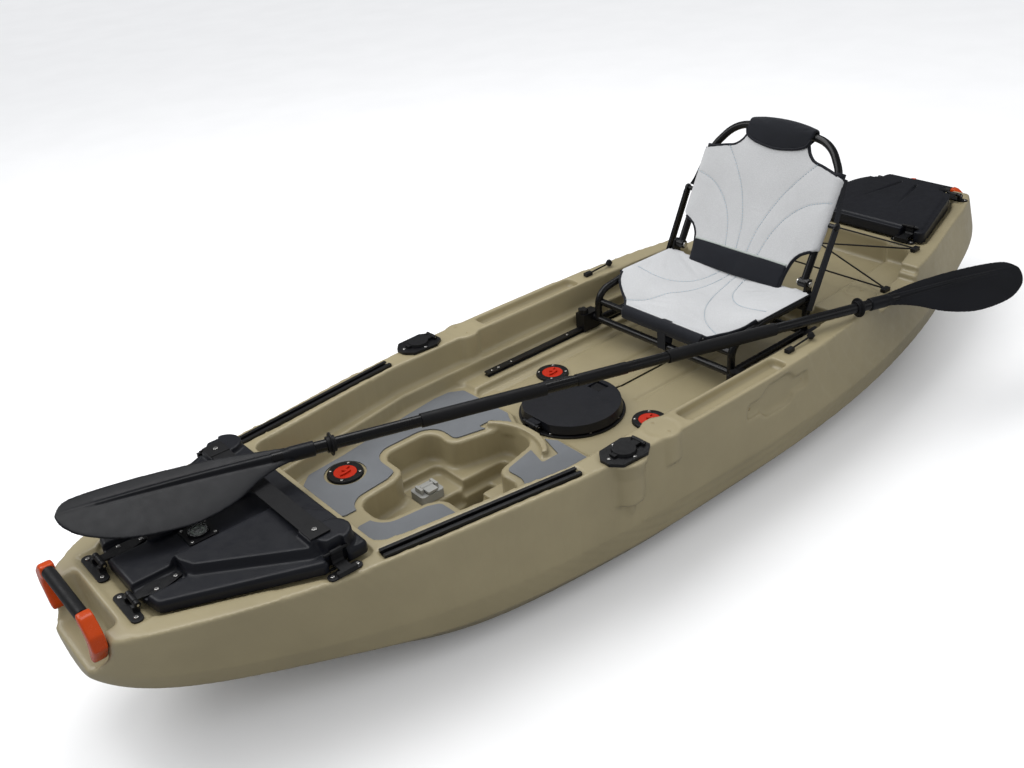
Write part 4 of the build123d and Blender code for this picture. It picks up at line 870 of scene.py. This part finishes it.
def loop_round(a, b, radius_a, radius_b, steps=14):
    """A closed path in the XZ plane round two tubes."""
    a, b = Vector(a), Vector(b)
    line = (b - a).normalized()
    square = Vector((-line.y, line.x))
    path = []
    for centre, radius, way in ((a, radius_a, -1), (b, radius_b, 1)):
        for i in range(steps + 1):
            turn = math.pi * i / steps
            p = centre + square * (radius * math.cos(turn) * -way) + line * (radius * math.sin(turn) * way)
            path.append((p.x, p.y))
    return path


tie = [(x, 0.012, z) for x, z in loop_round((-0.167, 0.317), (-0.158, 0.263), 0.021, 0.0125)]
belt("sling_tie", tie, "seat", "black_fabric", 0.030, closed=True)

# Webbing from the hoop's corners to the side studs and down beside the struts, with the pivots' round caps.
def ball(name, centre, radius, body, look="black_plastic", flatten=1.0):
    bm = bmesh.new()
    bmesh.ops.create_uvsphere(bm, u_segments=24, v_segments=14, radius=radius,
                              matrix=Matrix.Translation(centre) @ Matrix.Diagonal((1, flatten, 1, 1)))
    return finish_mesh(bm, name, look, body)


stud_up = 0.169
foot = Vector((-0.467, 0, 0.331))


def beside(side, up, out, forward=0.0):
    """A point in the backrest's plane, out from its centre line on one side."""
    return pivot + back_up * up + back_out * forward + Vector((0, side * out, 0))


for side, tag in ((1, "port"), (-1, "starboard")):
    strap = smooth_curve([beside(side, 0.300, 0.2435, -0.004), beside(side, 0.255, 0.247, -0.008),
                          beside(side, 0.20, 0.256, -0.008), beside(side, stud_up + 0.012, 0.2605, -0.004)], 0.012)
    belt(f"hoop_strap_{tag}", strap, "seat_back", "black_fabric", 0.024, 0.0022, across=back_out)
    cuff = [beside(side, 0.288, hoop_y), beside(side, 0.312, hoop_y)]
    tube_along(f"hoop_cuff_{tag}", cuff, "seat_back", "black_fabric",
               0.0275, 0.0275, 20)
    stud = beside(side, stud_up, 0.262)
    ball(f"stud_cap_{tag}", stud + Vector((0, side * 0.0085, 0)), 0.012, "seat_back", flatten=0.5)
    run = foot + Vector((0, stud.y, 0)) - stud
    down = [stud + Vector((0, side * 0.0086, 0)) + run * t for t in (0.03, 0.25, 0.5, 0.75, 0.97)]
    belt(f"strut_strap_{tag}", down, "struts", "black_fabric", 0.027, 0.0018,
         across=Vector((-run.z, 0, run.x)).normalized())


# The compass card's marks turn with it.
card_top = max((nodes["compass_card"].matrix_world @ v.co).z for v in nodes["compass_card"].data.vertices)
card_at = Vector((1.252, 0, card_top + 0.0002))
bm = bmesh.new()
for k in range(36):
    way = 2 * math.pi * k / 36
    length, wide = (0.0055, 0.0011) if k % 9 == 0 else (0.0035, 0.0006)
    out = Vector((math.cos(way), math.sin(way), 0))
    beside_way = Vector((-out.y, out.x, 0))
    ring = [bm.verts.new(card_at + out * r + beside_way * s + Vector((0, 0, h)))
            for h in (0, 0.0005) for r, s in ((0.0145, -wide), (0.0145, wide), (0.0145 - length, wide),
                                              (0.0145 - length, -wide))]
    for face in ((3, 2, 1, 0), (4, 5, 6, 7), (0, 1, 5, 4), (1, 2, 6, 5), (2, 3, 7, 6), (3, 0, 4, 7)):
        bm.faces.new([ring[i] for i in face])
bmesh.ops.recalc_face_normals(bm, faces=bm.faces)
finish_mesh(bm, "compass_marks", "mark", "compass", smooth=False)

# ---- stage -------------------------------------------------------------------------------------------
camera_at = Vector((1.838, 1.868, 1.705))
view_right = Vector((-0.7597, 0.6455, -0.0787))
view_ahead = Vector((-0.5333, -0.6877, -0.4926))
camera = bpy.data.cameras.new("camera")
camera.sensor_width = 36
camera.lens = 37.80492
camera_object = bpy.data.objects.new("camera", camera)
scene.collection.objects.link(camera_object)
view_right = (view_right - view_ahead * view_right.dot(view_ahead)).normalized()
view_up = view_right.cross(view_ahead)
rotation = Matrix((view_right, view_up, -view_ahead)).transposed()
camera_object.matrix_world = Matrix.Translation(camera_at) @ rotation.to_4x4()
scene.camera = camera_object


def floor():
    bm = bmesh.new()
    bmesh.ops.create_grid(bm, x_segments=4, y_segments=4, size=14)
    for v in bm.verts:
        v.co.z = -0.002
    return finish_mesh(bm, "floor", "floor", None)


def soft_light(name, place, size, power):
    data = bpy.data.lights.new(name, "AREA")
    data.shape = "RECTANGLE"
    data.size, data.size_y = size
    data.energy = power
    lamp = bpy.data.objects.new(name, data)
    scene.collection.objects.link(lamp)
    lamp.location = place
    lamp.rotation_euler = (Vector((0, 0, 0.2)) - Vector(place)).to_track_quat("-Z", "Y").to_euler()
    return lamp


sky_light, sky_gloss = 0.92, 0.14       # the even studio light, and how much of it shows in reflections


def floor_look():
    """Pale to the camera, but greyer in the light it throws back, so that the hull's sides keep their shade."""
    material, tree, principled, place = shader("floor")
    rays = tree.nodes.new("ShaderNodeLightPath")
    uneven = ramp(tree, noise_node(tree, place, 3, 4), 0.93, 0.95)
    shade = mix_color(tree, rays.outputs["Is Camera Ray"], (0.30, 0.30, 0.30), uneven)
    tree.links.new(shade, principled.inputs["Base Color"])
    principled.inputs["Roughness"].default_value = 0.9
    principled.inputs["Specular IOR Level"].default_value = 0.05
    return material


looks["floor"] = floor_look()
stage = [floor(),
         soft_light("overhead", (0.2, -1.0, 3.4), (4.2, 1.6), 62),
         soft_light("key", (2.4, -2.6, 3.0), (2.2, 1.6), 34),
         soft_light("fill", (-1.8, 3.2, 2.4), (3.4, 1.2), 8)]
world = bpy.data.worlds.new("studio")
world.use_nodes = True
sky = world.node_tree.nodes["Background"]
sky.inputs["Color"].default_value = (0.97, 0.98, 1.0, 1)
rays = world.node_tree.nodes.new("ShaderNodeLightPath")
world.node_tree.links.new(ramp(world.node_tree, rays.outputs["Is Glossy Ray"], sky_light, sky_gloss, 0, 1),
                          sky.inputs["Strength"])
scene.world = world
scene.view_settings.view_transform = "Standard"
